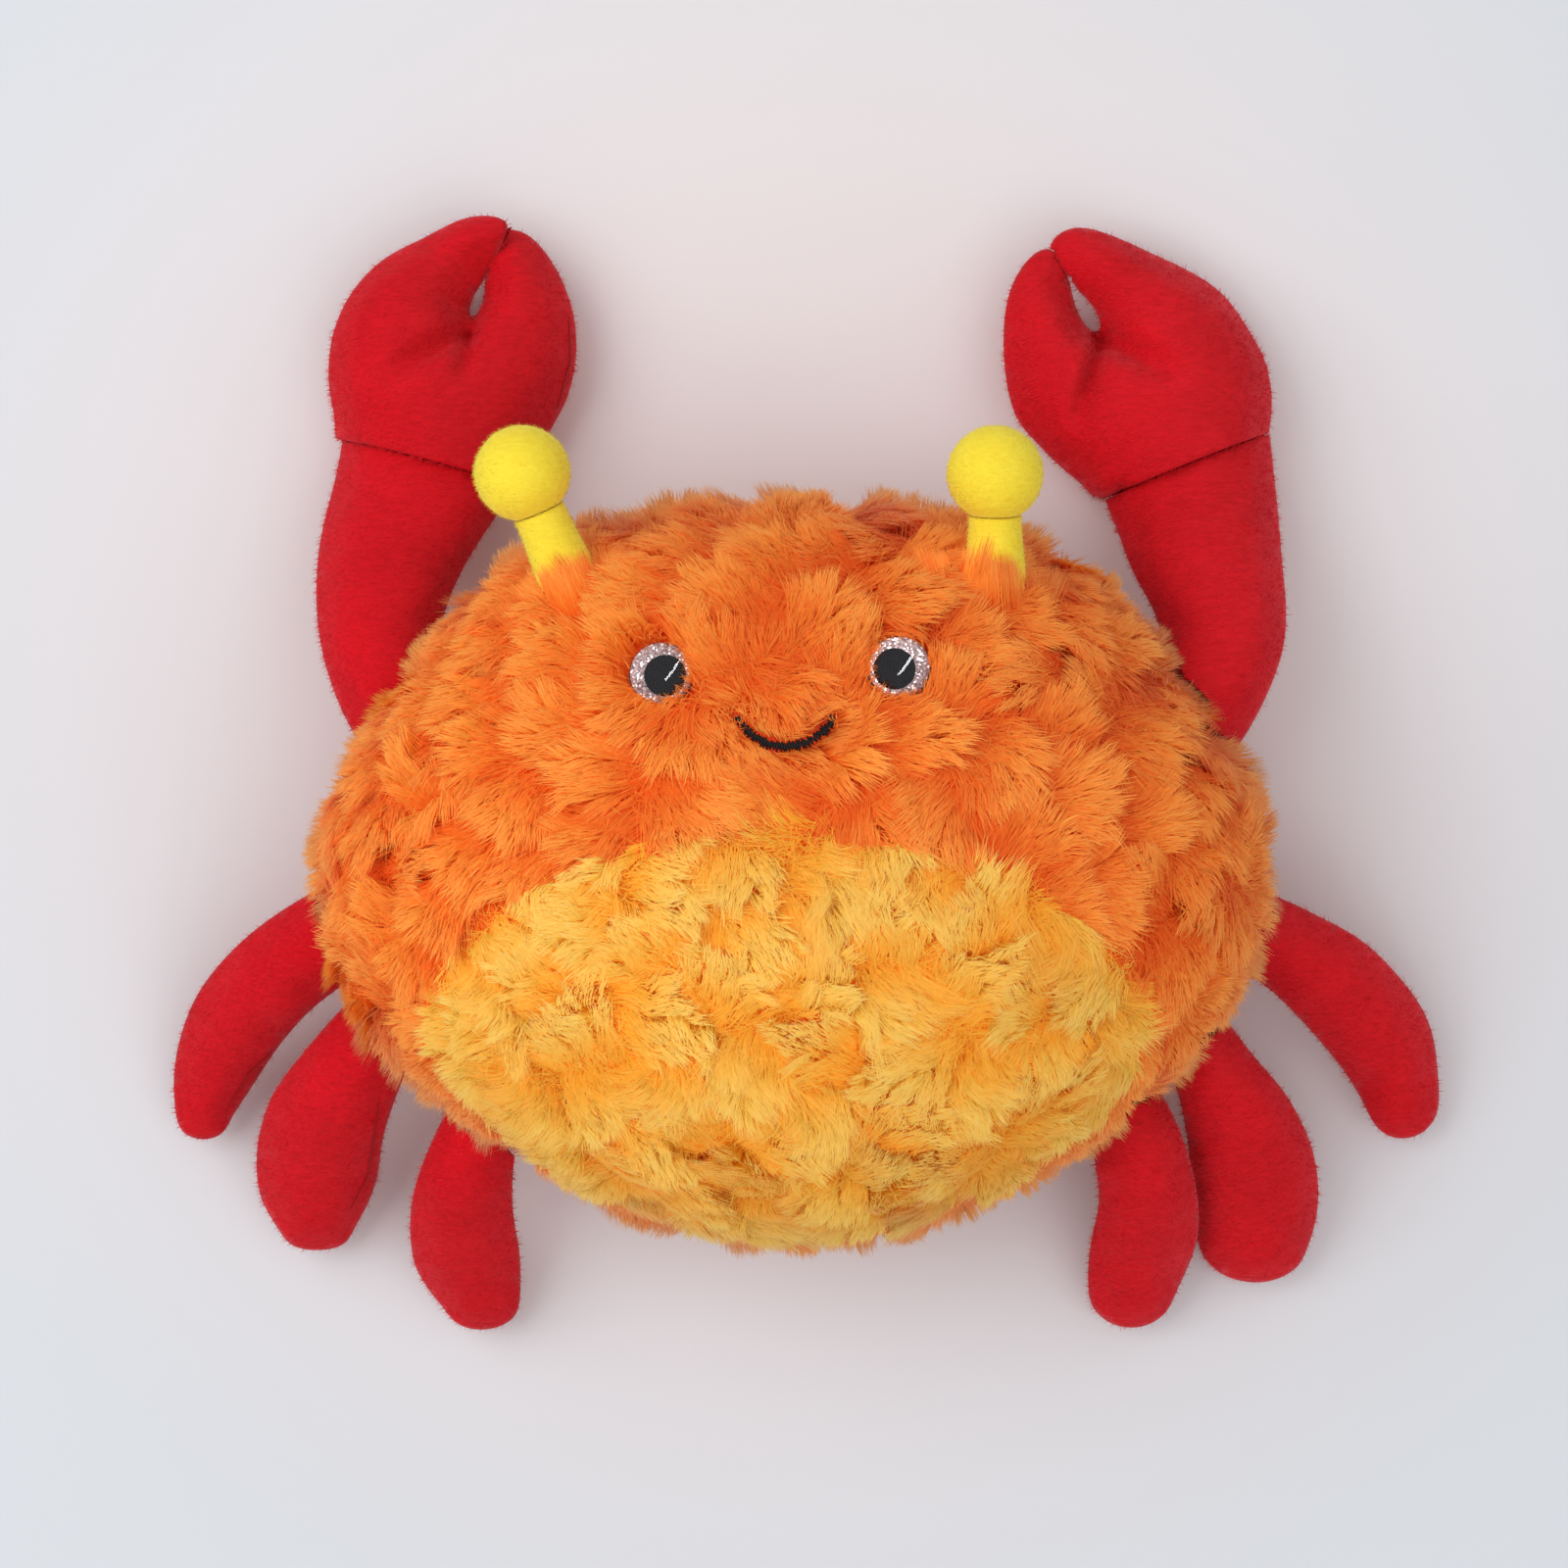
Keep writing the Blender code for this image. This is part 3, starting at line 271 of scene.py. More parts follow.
def body_level(points):
    x, y, z = points.T
    depth = np.where(z > 0, BODY_FRONT_DEPTH, BODY_BACK_DEPTH)
    shares = (x / half_width(y), y / BODY_HALF_HEIGHT, z / depth)
    return sum(np.abs(share) ** BODY_POWER for share in shares)


def onto_body(points):
    for _ in range(40):
        points = points * (body_level(points) ** (-1 / BODY_POWER))[:, None]
    return points


def body_normals(points):
    small = 0.01 * MM
    slope = np.stack(
        [body_level(points + small * axis) - body_level(points - small * axis) for axis in np.eye(3)], 1
    )
    return unit(slope)


def face_height(x, y):
    left = 1 - abs(x / half_width(y)) ** BODY_POWER - abs(y / BODY_HALF_HEIGHT) ** BODY_POWER
    return BODY_FRONT_DEPTH * max(left, 0) ** (1 / BODY_POWER)


def wrap(flat, side):
    """Layout points wrapped onto the front or back half of the body."""
    share = flat / LAYOUT
    rim = norms(share)
    tilt = rim * math.pi / 2
    way = share / np.maximum(rim, 1e-9)[:, None]
    depth = BODY_FRONT_DEPTH if side == FRONT else BODY_BACK_DEPTH
    spread = np.sin(tilt)[:, None] * way * (BODY_HALF_WIDTH, BODY_HALF_HEIGHT)
    return onto_body(np.column_stack([spread, np.maximum(np.cos(tilt), 1e-6) * depth * side]))


def in_belly(flat):
    top = LAYOUT_HALF_HEIGHT - BELLY_UPPER_MARGIN
    bottom = BELLY_LOWER_MARGIN - LAYOUT_HALF_HEIGHT
    wide, high = LAYOUT_HALF_WIDTH - BELLY_SIDE_MARGIN, (top - bottom) / 2
    centred = (flat - np.array([BELLY_SHIFT, (top + bottom) / 2])) / np.array([wide, high])
    return norms(centred) < 1


def anywhere(flat):
    return np.ones(len(flat), bool)


def norms(vectors):
    return np.linalg.norm(vectors, axis=1)


def unit(vectors):
    return vectors / np.maximum(norms(vectors), 1e-12)[:, None]


def ways(turns):
    """Flat directions, from turns to the left of the right-hand side."""
    return np.stack([np.cos(turns), np.sin(turns)], 1)


def tangent(vectors, normals):
    return unit(vectors - (vectors * normals).sum(1)[:, None] * normals)


def smooth(share):
    share = np.clip(share, 0, 1)
    return share * share * (3 - 2 * share)


def mouth_arc(count):
    """The smile's line as seen from the front, from the body's middle."""
    angles = np.radians(MOUTH_HALF_ANGLE) * np.linspace(-1, 1, count)
    x = MOUTH_CENTRE[0] + MOUTH_ARC_RADIUS * np.sin(angles)
    y = MOUTH_CENTRE[1] - MOUTH_ARC_RADIUS * np.cos(angles)
    return np.stack([x, y], 1)


# Locks


def lock_layout():
    """Middles of the locks, evenly spread over the body, and the way in which each one lies: brushed
    outward from between the eyes, and curling every way on the belly."""
    rng = np.random.default_rng(LOCK_SEED)
    index = np.arange(LOCK_COUNT) + 0.5
    height = 1 - 2 * index / LOCK_COUNT
    turn = index * math.pi * (1 + math.sqrt(5))
    ring = np.sqrt(1 - height**2)
    even = np.stack([ring * np.cos(turn), ring * np.sin(turn), height], 1)
    even += rng.normal(0, LOCK_SCATTER, even.shape)
    sizes = np.array([BODY_HALF_WIDTH, BODY_HALF_HEIGHT, BODY_FRONT_DEPTH])
    middles = onto_body(even * sizes)
    normals = body_normals(middles)
    across, up, out = (middles / sizes).T
    curly = (out > 0) & (np.hypot(across / CURLY_REACH[0], (up - CURLY_MIDDLE) / CURLY_REACH[1]) < 1)
    brushed = tangent(middles - np.array([*BRUSHED_FROM, BODY_FRONT_DEPTH]), normals)
    share = np.where(curly, CURLY_SHARE, BRUSHED_SHARE)[:, None]
    return middles, tangent(share * brushed + rng.normal(0, LAY_SCATTER, middles.shape), normals)


def lock_of(points, locks):
    """The lock that each point belongs to, and the point's place in it: along and across its lay. Locks
    reach further forward than back, so that each one's front edge bulges over the next."""
    middles, lays = locks
    normals = body_normals(middles)
    sides = np.cross(normals, lays)
    found = np.empty(len(points), int)
    for start in range(0, len(points), LOCK_BATCH):
        offset = points[start:start + LOCK_BATCH, None] - middles[None]
        along = (offset * lays).sum(2)
        across = (offset * sides).sum(2)
        off = (offset * normals).sum(2)
        along = along / np.where(along > 0, LOCK_FRONT_REACH, LOCK_BACK_REACH)
        found[start:start + LOCK_BATCH] = np.argmin(along**2 + across**2 + off**2, axis=1)
    offset = points - middles[found]
    along = (offset * lays[found]).sum(1) / LOCK_REACH
    across = (offset * sides[found]).sum(1) / LOCK_REACH
    return found, np.clip(along, *LOCK_ALONG), np.clip(across, *LOCK_ACROSS)


def lock_height(along, across):
    """-1 at a lock's root, 1 near its front edge, less at its sides."""
    return 2 * smooth((along + 0.75) / 1.7) - 1 - 0.25 * across**2


def trimmed(points):
    """1 where the pile is clipped short round the eyes and the smile, 0 elsewhere."""
    spots = [*EYES.values(), *mouth_arc(5)]
    nearest = np.min([np.hypot(points[:, 0] - x, points[:, 1] - y) for x, y in spots], axis=0)
    return smooth((TRIMMED_REACH - nearest) / (0.4 * TRIMMED_REACH)) * (points[:, 2] > 0)


def nearest_of(points, middles):
    tree = KDTree(len(middles))
    for i, middle in enumerate(middles):
        tree.insert(middle, i)
    tree.balance()
    return np.array([tree.find(point)[1] for point in points])


def scattered(count, side, kept, rng):
    """Points spread evenly over one half of the body, where kept(layout point) holds."""
    found = []
    total = 0
    while total < count:
        flat = rng.uniform(-1, 1, (3 * count, 2)) * LAYOUT
        flat = flat[norms(flat / LAYOUT) < 0.999]
        step = 0.2 * MM
        here = wrap(flat, side)
        across = wrap(flat + (step, 0), side) - here
        along = wrap(flat + (0, step), side) - here
        area = norms(np.cross(across, along)) / step**2
        keep = (rng.uniform(0, np.quantile(area, 0.995), len(flat)) < area) & kept(flat)
        found.append(here[keep])
        total += keep.sum()
    return np.concatenate(found)[:count]


def comb(points, locks, wisps, style, rng):
    """Strands of fur over these points of the body's surface: middle points from root to tip, the side of
    each ribbon, how light each strand is, with painted shade and light by its place in its lock, and the
    way that its surface faces."""
    middles, lays = locks
    count = len(points)
    normals = body_normals(points)
    lock, along, across = lock_of(points + rng.normal(0, 0.4 * MM, points.shape), locks)
    wisp_middles, wisp_turn, wisp_lift, wisp_tone = wisps
    wisp = nearest_of(points, wisp_middles)
    lay = tangent(lays[lock], normals)
    side = np.cross(normals, lay)

    height = lock_height(along, across)
    loose = rng.uniform(size=count) < LOOSE_SHARE + LOOSE_IN_PARTINGS * smooth(-height)
    turn = wisp_turn[wisp] * style["stray"] + style["fan"] * across + rng.normal(0, 0.10, count)
    turn = np.where(loose, rng.uniform(-math.pi, math.pi, count), turn)
    cos, sin = np.cos(turn)[:, None], np.sin(turn)[:, None]
    ahead = cos * lay + sin * side
    aside = cos * side - sin * lay
    curls = np.random.default_rng(LOCK_SEED + 1).normal(0, style["curl"], len(middles))
    curl = curls[lock] + rng.normal(0, 0.10, count)

    clipped = trimmed(points)
    length = STRAND_LENGTH * style["length"] * rng.normal(1, 0.09, count) * (1 - 0.45 * clipped)
    length = length * np.where(loose, LOOSE_LENGTH, 1)
    bristling = smooth(1 - np.abs(points[:, 2]) / SEAM_REACH)
    lift = LOCK_RELIEF * (style["relief"] * height + PILE_RAISE) + style["lifted"]
    lift = lift + wisp_lift[wisp] + rng.normal(0, 0.25 * MM, count) + SEAM_BRISTLE * bristling
    for place, reach, extra in FLUFF:
        lift = lift + extra * np.exp(-((norms(points - place) / reach) ** 2))
    lift = lift * (1 - clipped) - TRIMMED_DEPTH * clipped - LOOSE_DEPTH * loose
    rise = np.maximum(BACKING_DEPTH + lift, LEAST_RISE)
    reach = np.sqrt(np.maximum(length**2 - rise**2, (0.4 * length) ** 2))
    gather = ((points - wisp_middles[wisp]) * aside).sum(1) * GATHER

    rings = []
    for t in RING_SHARES:
        up = -BACKING_DEPTH + rise * (1 - (1 - t) ** (2 - 0.85 * bristling))
        up = up - DROOP * t**4 * (1 - bristling)
        forth = reach * (t**1.1 - 0.45)
        bent = curl * reach * 0.5 * t**2 - gather * t**1.5
        rings.append(points + normals * up[:, None] + ahead * forth[:, None] + aside * bent[:, None])
    rings = np.stack(rings, 1)
    # Tone: random by wisp and strand, a little lower on loose strands, and painted shade and light by the
    # lock: darker in the gaps between locks, lighter towards their raised front edges.
    tone = 0.48 + 0.34 * height * (1 - clipped) + wisp_tone[wisp] + rng.normal(0, 0.10, count) - 0.1 * loose
    return rings, aside, np.clip(tone, 0.02, 0.98), normals


def ribbons(name, rings, shares, aside, width, tone, normals, material):
    """A mesh of tapering ribbons, one for each strand, shaded like the surface that they lie on."""
    count, steps, _ = rings.shape
    sides = np.array([-1, 1] * (steps - 1) + [0])
    heights = np.repeat(shares, 2)[:-1]
    half = width[:, None] / 2 * np.sqrt(np.clip(1 - heights**2.2, 0, 1))
    vertices = np.repeat(rings, 2, axis=1)[:, :-1] + aside[:, None] * (sides * half)[:, :, None]
    per = len(sides)
    quads = [(2 * i + 1, 2 * i, 2 * i + 2, 2 * i + 3) for i in range(steps - 2)]
    corners = [i for quad in quads for i in quad] + [per - 2, per - 3, per - 1]
    loops = (np.arange(count)[:, None] * per + np.array(corners)[None, :]).ravel()
    sizes = np.tile([4] * len(quads) + [3], count)
    u = tone[:, None] + TONE_SPREAD * sides[corners]
    v = np.tile(0.02 + 0.96 * heights[corners], (count, 1))
    facing = strand_normals(rings, normals)
    return hair_object(name, vertices.reshape(-1, 3), loops, sizes, np.stack([u, v], 2), facing, material)


def hair_object(name, vertices, loops, sizes, uv, facing, material):
    """An object of separate hairs, with their tone and the way from root to tip as its map."""
    mesh = bpy.data.meshes.new(name)
    mesh.vertices.add(len(vertices))
    mesh.vertices.foreach_set("co", vertices.ravel().astype(np.float32))
    mesh.loops.add(len(loops))
    mesh.loops.foreach_set("vertex_index", loops.astype(np.int32))
    mesh.polygons.add(len(sizes))
    starts = np.concatenate([[0], np.cumsum(sizes)[:-1]])
    mesh.polygons.foreach_set("loop_start", starts.astype(np.int32))
    mesh.polygons.foreach_set("use_smooth", np.ones(len(sizes), bool))
    mesh.update(calc_edges=True)
    mesh.uv_layers.new(name="OFBake").data.foreach_set("uv", uv.ravel().astype(np.float32))
    mesh.normals_split_custom_set_from_vertices(facing.astype(np.float32))
    mesh.materials.append(material)
    return add(name, mesh)


def strand_normals(rings, normals):
    """The way in which each strand faces: mostly as the body does, partly square to the strand."""
    ahead = unit(np.gradient(rings, axis=1).reshape(-1, 3)).reshape(rings.shape)
    outward = np.repeat(normals[:, None], rings.shape[1], axis=1)
    square = outward - (outward * ahead).sum(2)[:, :, None] * ahead
    shade = unit((0.65 * outward + 0.35 * square).reshape(-1, 3)).reshape(rings.shape)
    return np.repeat(shade, 2, axis=1)[:, :-1].reshape(-1, 3)


def add(name, data):
    obj = bpy.data.objects.new(name, data)
    bpy.context.scene.collection.objects.link(obj)
    return obj


def smooth_object(name, vertices, faces):
    mesh = bpy.data.meshes.new(name)
    mesh.from_pydata([tuple(v) for v in vertices], [], faces)
    mesh.shade_smooth()
    return add(name, mesh)


def antenna_axis(side):
    (x, y), reach = ANTENNAE[side]
    foot = np.array([x, y, face_height(x, y)])
    return foot, np.array(reach)


def clear_of_features(rings):
    """False for strands that would cover an eye, most of those over the smile, and those in a stalk."""
    keep = np.ones(len(rings), bool)
    rng = np.random.default_rng(11)
    front = rings[:, 0, 2] > 0
    for x, y in EYES.values():
        distance = np.hypot(rings[:, :, 0] - x, rings[:, :, 1] - y).min(1)
        halfway = (rings[:, -1] + rings[:, -2]) / 2
        distance = np.minimum(distance, np.hypot(halfway[:, 0] - x, halfway[:, 1] - y))
        keep &= ~(front & (distance < EYE_CLEARANCE + rng.normal(0, 0.25 * MM, len(rings))))
    arc = mouth_arc(25)
    middles = np.concatenate([rings[:, 1:], (rings[:, 1:] + rings[:, :-1]) / 2], 1)
    gap = np.min([np.hypot(middles[:, :, 0] - x, middles[:, :, 1] - y).min(1) for x, y in arc], axis=0)
    keep &= ~(front & (gap < 0.95 * MOUTH_THREAD_RADIUS) & (rng.uniform(size=len(rings)) < 0.96))
    for side in ANTENNAE:
        foot, reach = antenna_axis(side)
        way = reach / np.linalg.norm(reach)
        offset = rings[:, 0] - (foot + way * 2 * MM)
        along = np.clip(offset @ way, 0, None)
        keep &= norms(offset - along[:, None] * way) > ANTENNA_CLEARANCE
    return keep


# Materials


class Shader:
    """A material under construction, with short names for adding and joining nodes."""

    def __init__(self, name):
        self.material = bpy.data.materials.new(name)
        self.material.use_nodes = True
        self.nodes = self.material.node_tree.nodes
        self.links = self.material.node_tree.links
        self.surface = self.nodes["Principled BSDF"]

    def node(self, kind, values=None, **settings):
        """A new node with these settings, and these values on its own sockets."""
        node = self.nodes.new(kind)
        for key, value in settings.items():
            setattr(node, key, value)
        for socket, value in (values or {}).items():
            node.inputs[socket].default_value = value
        return node

    def join(self, source, target):
        self.links.new(source, target)

    def set(self, **values):
        for key, value in values.items():
            self.surface.inputs[key.replace("_", " ")].default_value = value

    def paint(self, colour):
        self.join(colour, self.surface.inputs["Base Color"])

    def ramp(self, source, stops):
        ramp = self.node("ShaderNodeValToRGB")
        elements = ramp.color_ramp.elements
        while len(elements) < len(stops):
            elements.new(0.5)
        for element, (place, colour) in zip(elements, stops):
            element.position = place
            element.color = (*colour, 1)
        self.join(source, ramp.inputs["Fac"])
        return ramp.outputs["Color"]

    def noise(self, scale, roughness, stretch=(1, 1, 1)):
        values = {"Scale": scale, "Detail": NOISE_DETAIL, "Roughness": roughness}
        texture = self.node("ShaderNodeTexNoise", values)
        mapping = self.node("ShaderNodeMapping", {"Scale": stretch})
        self.join(self.node("ShaderNodeTexCoord").outputs["Object"], mapping.inputs["Vector"])
        self.join(mapping.outputs["Vector"], texture.inputs["Vector"])
        return texture.outputs["Fac"]

    def bump(self, height, strength, distance):
        bump = self.node("ShaderNodeBump", {"Strength": strength, "Distance": distance})
        self.join(height, bump.inputs["Height"])
        self.join(bump.outputs["Normal"], self.surface.inputs["Normal"])


def fur_material(name, deep, light, rim=(1, 1, 1)):
    """Pile that is deep in colour at its roots and pale at its tips, partly its own colour and partly painted
    shade and highlight, painted deeper in the gaps between locks, and lit through where a strand is seen
    from behind."""
    shader = Shader(name)
    uv = shader.node("ShaderNodeUVMap", uv_map="OFBake")
    split = shader.node("ShaderNodeSeparateXYZ")
    shader.join(uv.outputs["UV"], split.inputs["Vector"])
    shares = (0.0, 0.45, 0.95)
    low = shader.ramp(split.outputs["Y"], list(zip(shares, deep)))
    high = shader.ramp(split.outputs["Y"], list(zip(shares, light)))
    mix = shader.node("ShaderNodeMix", data_type="RGBA")
    shader.join(split.outputs["X"], mix.inputs["Factor"])
    shader.join(low, mix.inputs["A"])
    shader.join(high, mix.inputs["B"])
    shader.paint(mix.outputs["Result"])
    shader.set(Roughness=0.8, Sheen_Weight=0.2, Sheen_Roughness=0.4, Sheen_Tint=(*rim, 1))
    shader.set(Specular_IOR_Level=0.12)
    through = shader.node("ShaderNodeBsdfTranslucent")
    shader.join(mix.outputs["Result"], through.inputs["Color"])
    sides = shader.node("ShaderNodeMixShader")
    shader.join(shader.node("ShaderNodeNewGeometry").outputs["Backfacing"], sides.inputs["Fac"])
    shader.join(shader.surface.outputs["BSDF"], sides.inputs[1])
    shader.join(through.outputs["BSDF"], sides.inputs[2])
    shader.join(sides.outputs["Shader"], shader.nodes["Material Output"].inputs["Surface"])
    return shader.material


def plain_material(name, colour, roughness, **values):
    shader = Shader(name)
    shader.set(Base_Color=(*colour, 1), Roughness=roughness, **values)
    return shader.material


def cloth_material(name, colour, shadow, rim, grain=900):
    """Short pile: fine nap in rows, lighter and darker in patches as painted shade of the brushed nap, paler
    where it is seen edge on.
    """
    shader = Shader(name)
    fine = shader.noise(grain, 0.6, NAP_STRETCH)
    patches = shader.noise(grain / 14, 0.55)
    half = shader.node("ShaderNodeMath", {1: 0.45}, operation="MULTIPLY")
    both = shader.node("ShaderNodeMath", {1: 0.55}, operation="MULTIPLY_ADD")
    shader.join(patches, half.inputs[0])
    shader.join(fine, both.inputs[0])
    shader.join(half.outputs[0], both.inputs[2])
    shader.paint(shader.ramp(both.outputs[0], [(0.32, shadow), (0.62, colour)]))
    shader.set(Roughness=0.85, Sheen_Weight=0.7, Sheen_Roughness=0.4, Sheen_Tint=(*rim, 1))
    shader.set(Specular_IOR_Level=0.15)
    shader.bump(fine, 0.5, 0.0005)
    return shader.material


# Body


def make_fur(centre, locks):
    rng = np.random.default_rng(LOCK_SEED + 5)
    wisp_middles = np.concatenate([scattered(WISP_COUNT // 2, side, anywhere, rng) for side in (FRONT, BACK)])
    wisps = (wisp_middles, *(rng.normal(0, spread, len(wisp_middles)) for spread in WISP_SPREADS))
    orange = fur_material("orange_fur_look", ORANGE_DEEP_SHADED, ORANGE_PALE_LIT)
    yellow = fur_material("yellow_fur_look", YELLOW_DEEP_SHADED, YELLOW_PALE_LIT)
    styles = {
        "face": dict(stray=0.22, fan=0.55, curl=0.3, length=1.0, relief=1.0, lifted=0),
        "belly": dict(stray=0.4, fan=0.6, curl=1.3, length=0.85, relief=0.8, lifted=0.7 * MM),
        "back": dict(stray=0.25, fan=0.5, curl=0.3, length=1.0, relief=0.9, lifted=0),
    }
    # Strands, the half they are on and where, material and finish, and how many objects: all and with shadows
    areas = (
        ("face", FACE_STRANDS, FRONT, lambda flat: ~in_belly(flat), orange, "orange_fur", 4, 2),
        ("belly", BELLY_STRANDS, FRONT, in_belly, yellow, "yellow_fur", 4, 1),
        ("back", BACK_STRANDS, BACK, anywhere, orange, "orange_fur", 1, 1),
    )
    for name, total, side, kept, material, finish, pieces, shading in areas:
        points = scattered(total, side, kept, rng)
        rings, aside, tone, normals = comb(points, locks, wisps, styles[name], rng)
        keep = clear_of_features(rings)
        rings, aside, tone, normals = rings[keep], aside[keep], tone[keep], normals[keep]
        rings = rings + centre
        rings[:, :, 2] = np.maximum(rings[:, :, 2], LEAST_HEIGHT)
        width = STRAND_WIDTH * rng.uniform(*WIDTH_RANGE, len(rings))
        if name == "back":
            width = width * BACK_WIDENING
        for index, part in enumerate(np.array_split(rng.permutation(len(rings)), pieces)):
            label = "fur_" + name + ("" if pieces == 1 else f"_{index + 1}")
            chosen = (kind[part] for kind in (aside, width, tone, normals))
            fur = ribbons(label, rings[part], RING_SHARES, *chosen, material)
            fur.visible_shadow = index < shading
            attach(fur, "root")
            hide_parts(name + "_panel")
    add_edge_hairs(centre, orange)


def add_edge_hairs(centre, material):
    """Hairs of the face that lie over the stalks' feet, the eyes' edges and the ends of the smile."""
    rng = np.random.default_rng(31)
    hairs = [tuft_hairs(side, rng) for side in ANTENNAE]
    hairs += [lash_hairs(side, rng) for side in EYES]
    hairs += [smile_end_hairs(end, rng) for end in (0, 1)]
    rings, aside, normals, tone, width = (np.concatenate(kind) for kind in zip(*hairs))
    tone = np.clip(tone + rng.normal(0, 0.13, len(tone)), 0.02, 0.98)
    width = width * rng.uniform(*WIDTH_RANGE, len(width))
    fur = ribbons("fur_edges", rings + centre, (0, 0.5, 1), aside, width, tone, normals, material)
    fur.visible_shadow = False
    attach(fur, "root")
    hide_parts("face_panel")


def bent_hairs(roots, middles, tips, normals, tone, width):
    rings = np.stack([roots, middles, tips], 1)
    spread = np.ones(len(rings))
    return rings, unit(np.cross(normals, tips - roots)), normals, tone * spread, width * spread


def heights_at(places):
    return np.array([face_height(x, y) for x, y, _ in places])


def tuft_hairs(side, rng):
    foot, reach = antenna_axis(side)
    up = unit(np.array([[reach[0], reach[1], 0]]))[0]
    across = np.array([up[1], -up[0], 0])
    clump = rng.integers(0, TUFT_CLUMPS, TUFT_HAIRS)
    clump_aside = np.linspace(-TUFT_HALF_WIDTH, TUFT_HALF_WIDTH, TUFT_CLUMPS)
    clump_below = rng.uniform(3.5, 9, TUFT_CLUMPS) * MM
    clump_cover = rng.normal(0, 1.3 * MM, TUFT_CLUMPS)
    clump_turn = rng.normal(0, 0.3, TUFT_CLUMPS) + 0.5 * clump_aside / TUFT_HALF_WIDTH
    clump_lift = rng.uniform(0.2, 1.8, TUFT_CLUMPS) * MM
    clump_tone = rng.normal(0.58, 0.17, TUFT_CLUMPS)
    sideways = clump_aside[clump] + rng.normal(0, 1.0 * MM, TUFT_HAIRS)
    below = clump_below[clump] + rng.normal(0, 1.0 * MM, TUFT_HAIRS)
    roots = foot + sideways[:, None] * across - below[:, None] * up
    roots[:, 2] = heights_at(roots) - TUFT_SINK
    cover = np.interp(sideways, *TUFT_COVER[side]) + clump_cover[clump]
    ahead = cover - 0.6 * below - rng.gamma(1.2, 0.8 * MM, TUFT_HAIRS) + 2 * MM
    tip_side = sideways + np.tan(clump_turn[clump]) * (ahead + below) * 0.6
    tip_side = tip_side + rng.normal(0, 0.5 * MM, TUFT_HAIRS)
    tips = foot + tip_side[:, None] * across + ahead[:, None] * up
    slope = reach[2] / np.linalg.norm(reach[:2])
    stalk = foot[2] + ahead * slope + np.sqrt(np.clip(STALK_RADIUS**2 - tip_side**2, 0, None))
    beside = smooth((np.abs(tip_side) - 0.7 * STALK_RADIUS) / STALK_RADIUS)
    below_foot = smooth(-ahead / (4 * MM))
    covered = 1 - (1 - beside) * (1 - below_foot)
    surface = heights_at(tips) + 2 * MM
    tips[:, 2] = stalk * (1 - covered) + surface * covered + clump_lift[clump]
    middles = (roots + tips) / 2
    middles[:, 2] = 0.25 * roots[:, 2] + 0.75 * tips[:, 2] + 0.6 * MM
    normals = unit(body_normals(roots) - 0.25 * up + 0.3 * (sideways / STALK_RADIUS)[:, None] * across)
    return bent_hairs(roots, middles, tips, normals, clump_tone[clump], 0.7 * STRAND_WIDTH)


def lash_hairs(side, rng):
    place = np.array(eye_frame(*EYES[side], np.zeros(3)))
    middle, spread = LASH_TURNS[side]
    turn = np.radians(rng.normal(middle, spread, LASHES))
    way = turn + math.pi + rng.normal(0, 0.7, LASHES)
    length = LASH_LENGTH * rng.uniform(0.5, 1.3, LASHES)
    flat_root = (EYE_RADIUS + rng.uniform(0.1, 0.9, LASHES) * MM)[:, None] * ways(turn)
    local = []
    for share, height in LASH_POINTS:
        flat = flat_root + ways(way) * (length * share)[:, None]
        local.append(np.column_stack([flat, np.full(LASHES, height * MM)]))
    roots, middles, tips = (points @ place[:3, :3].T + place[:3, 3] for points in local)
    facing = np.repeat(place[None, :3, 2], LASHES, axis=0)
    return bent_hairs(roots, middles, tips, facing, 0.5, FINE_WIDTH)


def smile_end_hairs(end, rng):
    x, y = mouth_arc(2)[end]
    start = np.array([x, y]) + rng.normal(0, 0.8 * MM, (SMILE_END_HAIRS, 2)) - (0, 1.2 * MM)
    way = np.radians(rng.normal(90, 35, SMILE_END_HAIRS))
    length = rng.uniform(1.2, 2.6, SMILE_END_HAIRS) * MM
    points = []
    for share, height in SMILE_END_POINTS:
        flat = start + ways(way) * (length * share)[:, None]
        place = np.column_stack([flat, np.zeros(SMILE_END_HAIRS)])
        place[:, 2] = heights_at(place) + height * MM
        points.append(place)
    return bent_hairs(*points, body_normals(points[0]), 0.5, FINE_WIDTH)


def make_backing(centre):
    """The cloth that the pile grows from, under the strands."""
    steps = BACKING_STEPS
    shares = np.arange(1, BACKING_RINGS + 1)[:, None, None] / BACKING_RINGS
    rings = LAYOUT * shares * ways(2 * math.pi * np.arange(steps) / steps)
    flat = np.concatenate([[(0, 0)], rings.reshape(-1, 2)])
    for side, name in ((FRONT, "front_backing"), (BACK, "back_backing")):
        surface = wrap(flat * 0.99999, side)
        surface = surface - body_normals(surface) * BACKING_DEPTH + centre
        surface[:, 2] = np.maximum(surface[:, 2], 0.3 * MM)
        faces = [(0, 1 + i, 1 + (i + 1) % steps) for i in range(steps)]
        faces += [(a, d, c, b) for a, b, c, d in tube_faces(1, BACKING_RINGS, steps)]
        if side == BACK:
            faces = [tuple(reversed(face)) for face in faces]
        obj = smooth_object(name, surface, faces)
        mesh = obj.data
        mesh.materials.append(plain_material(name + "_orange", BACKING_ORANGE, 0.95))
        if side == FRONT:
            mesh.materials.append(plain_material(name + "_yellow", BACKING_YELLOW, 0.95))
            middles = np.array([flat[list(face)].mean(0) for face in faces])
            for polygon, belly in zip(mesh.polygons, in_belly(middles)):
                polygon.material_index = int(belly)
        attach(obj, "root")


# Limbs


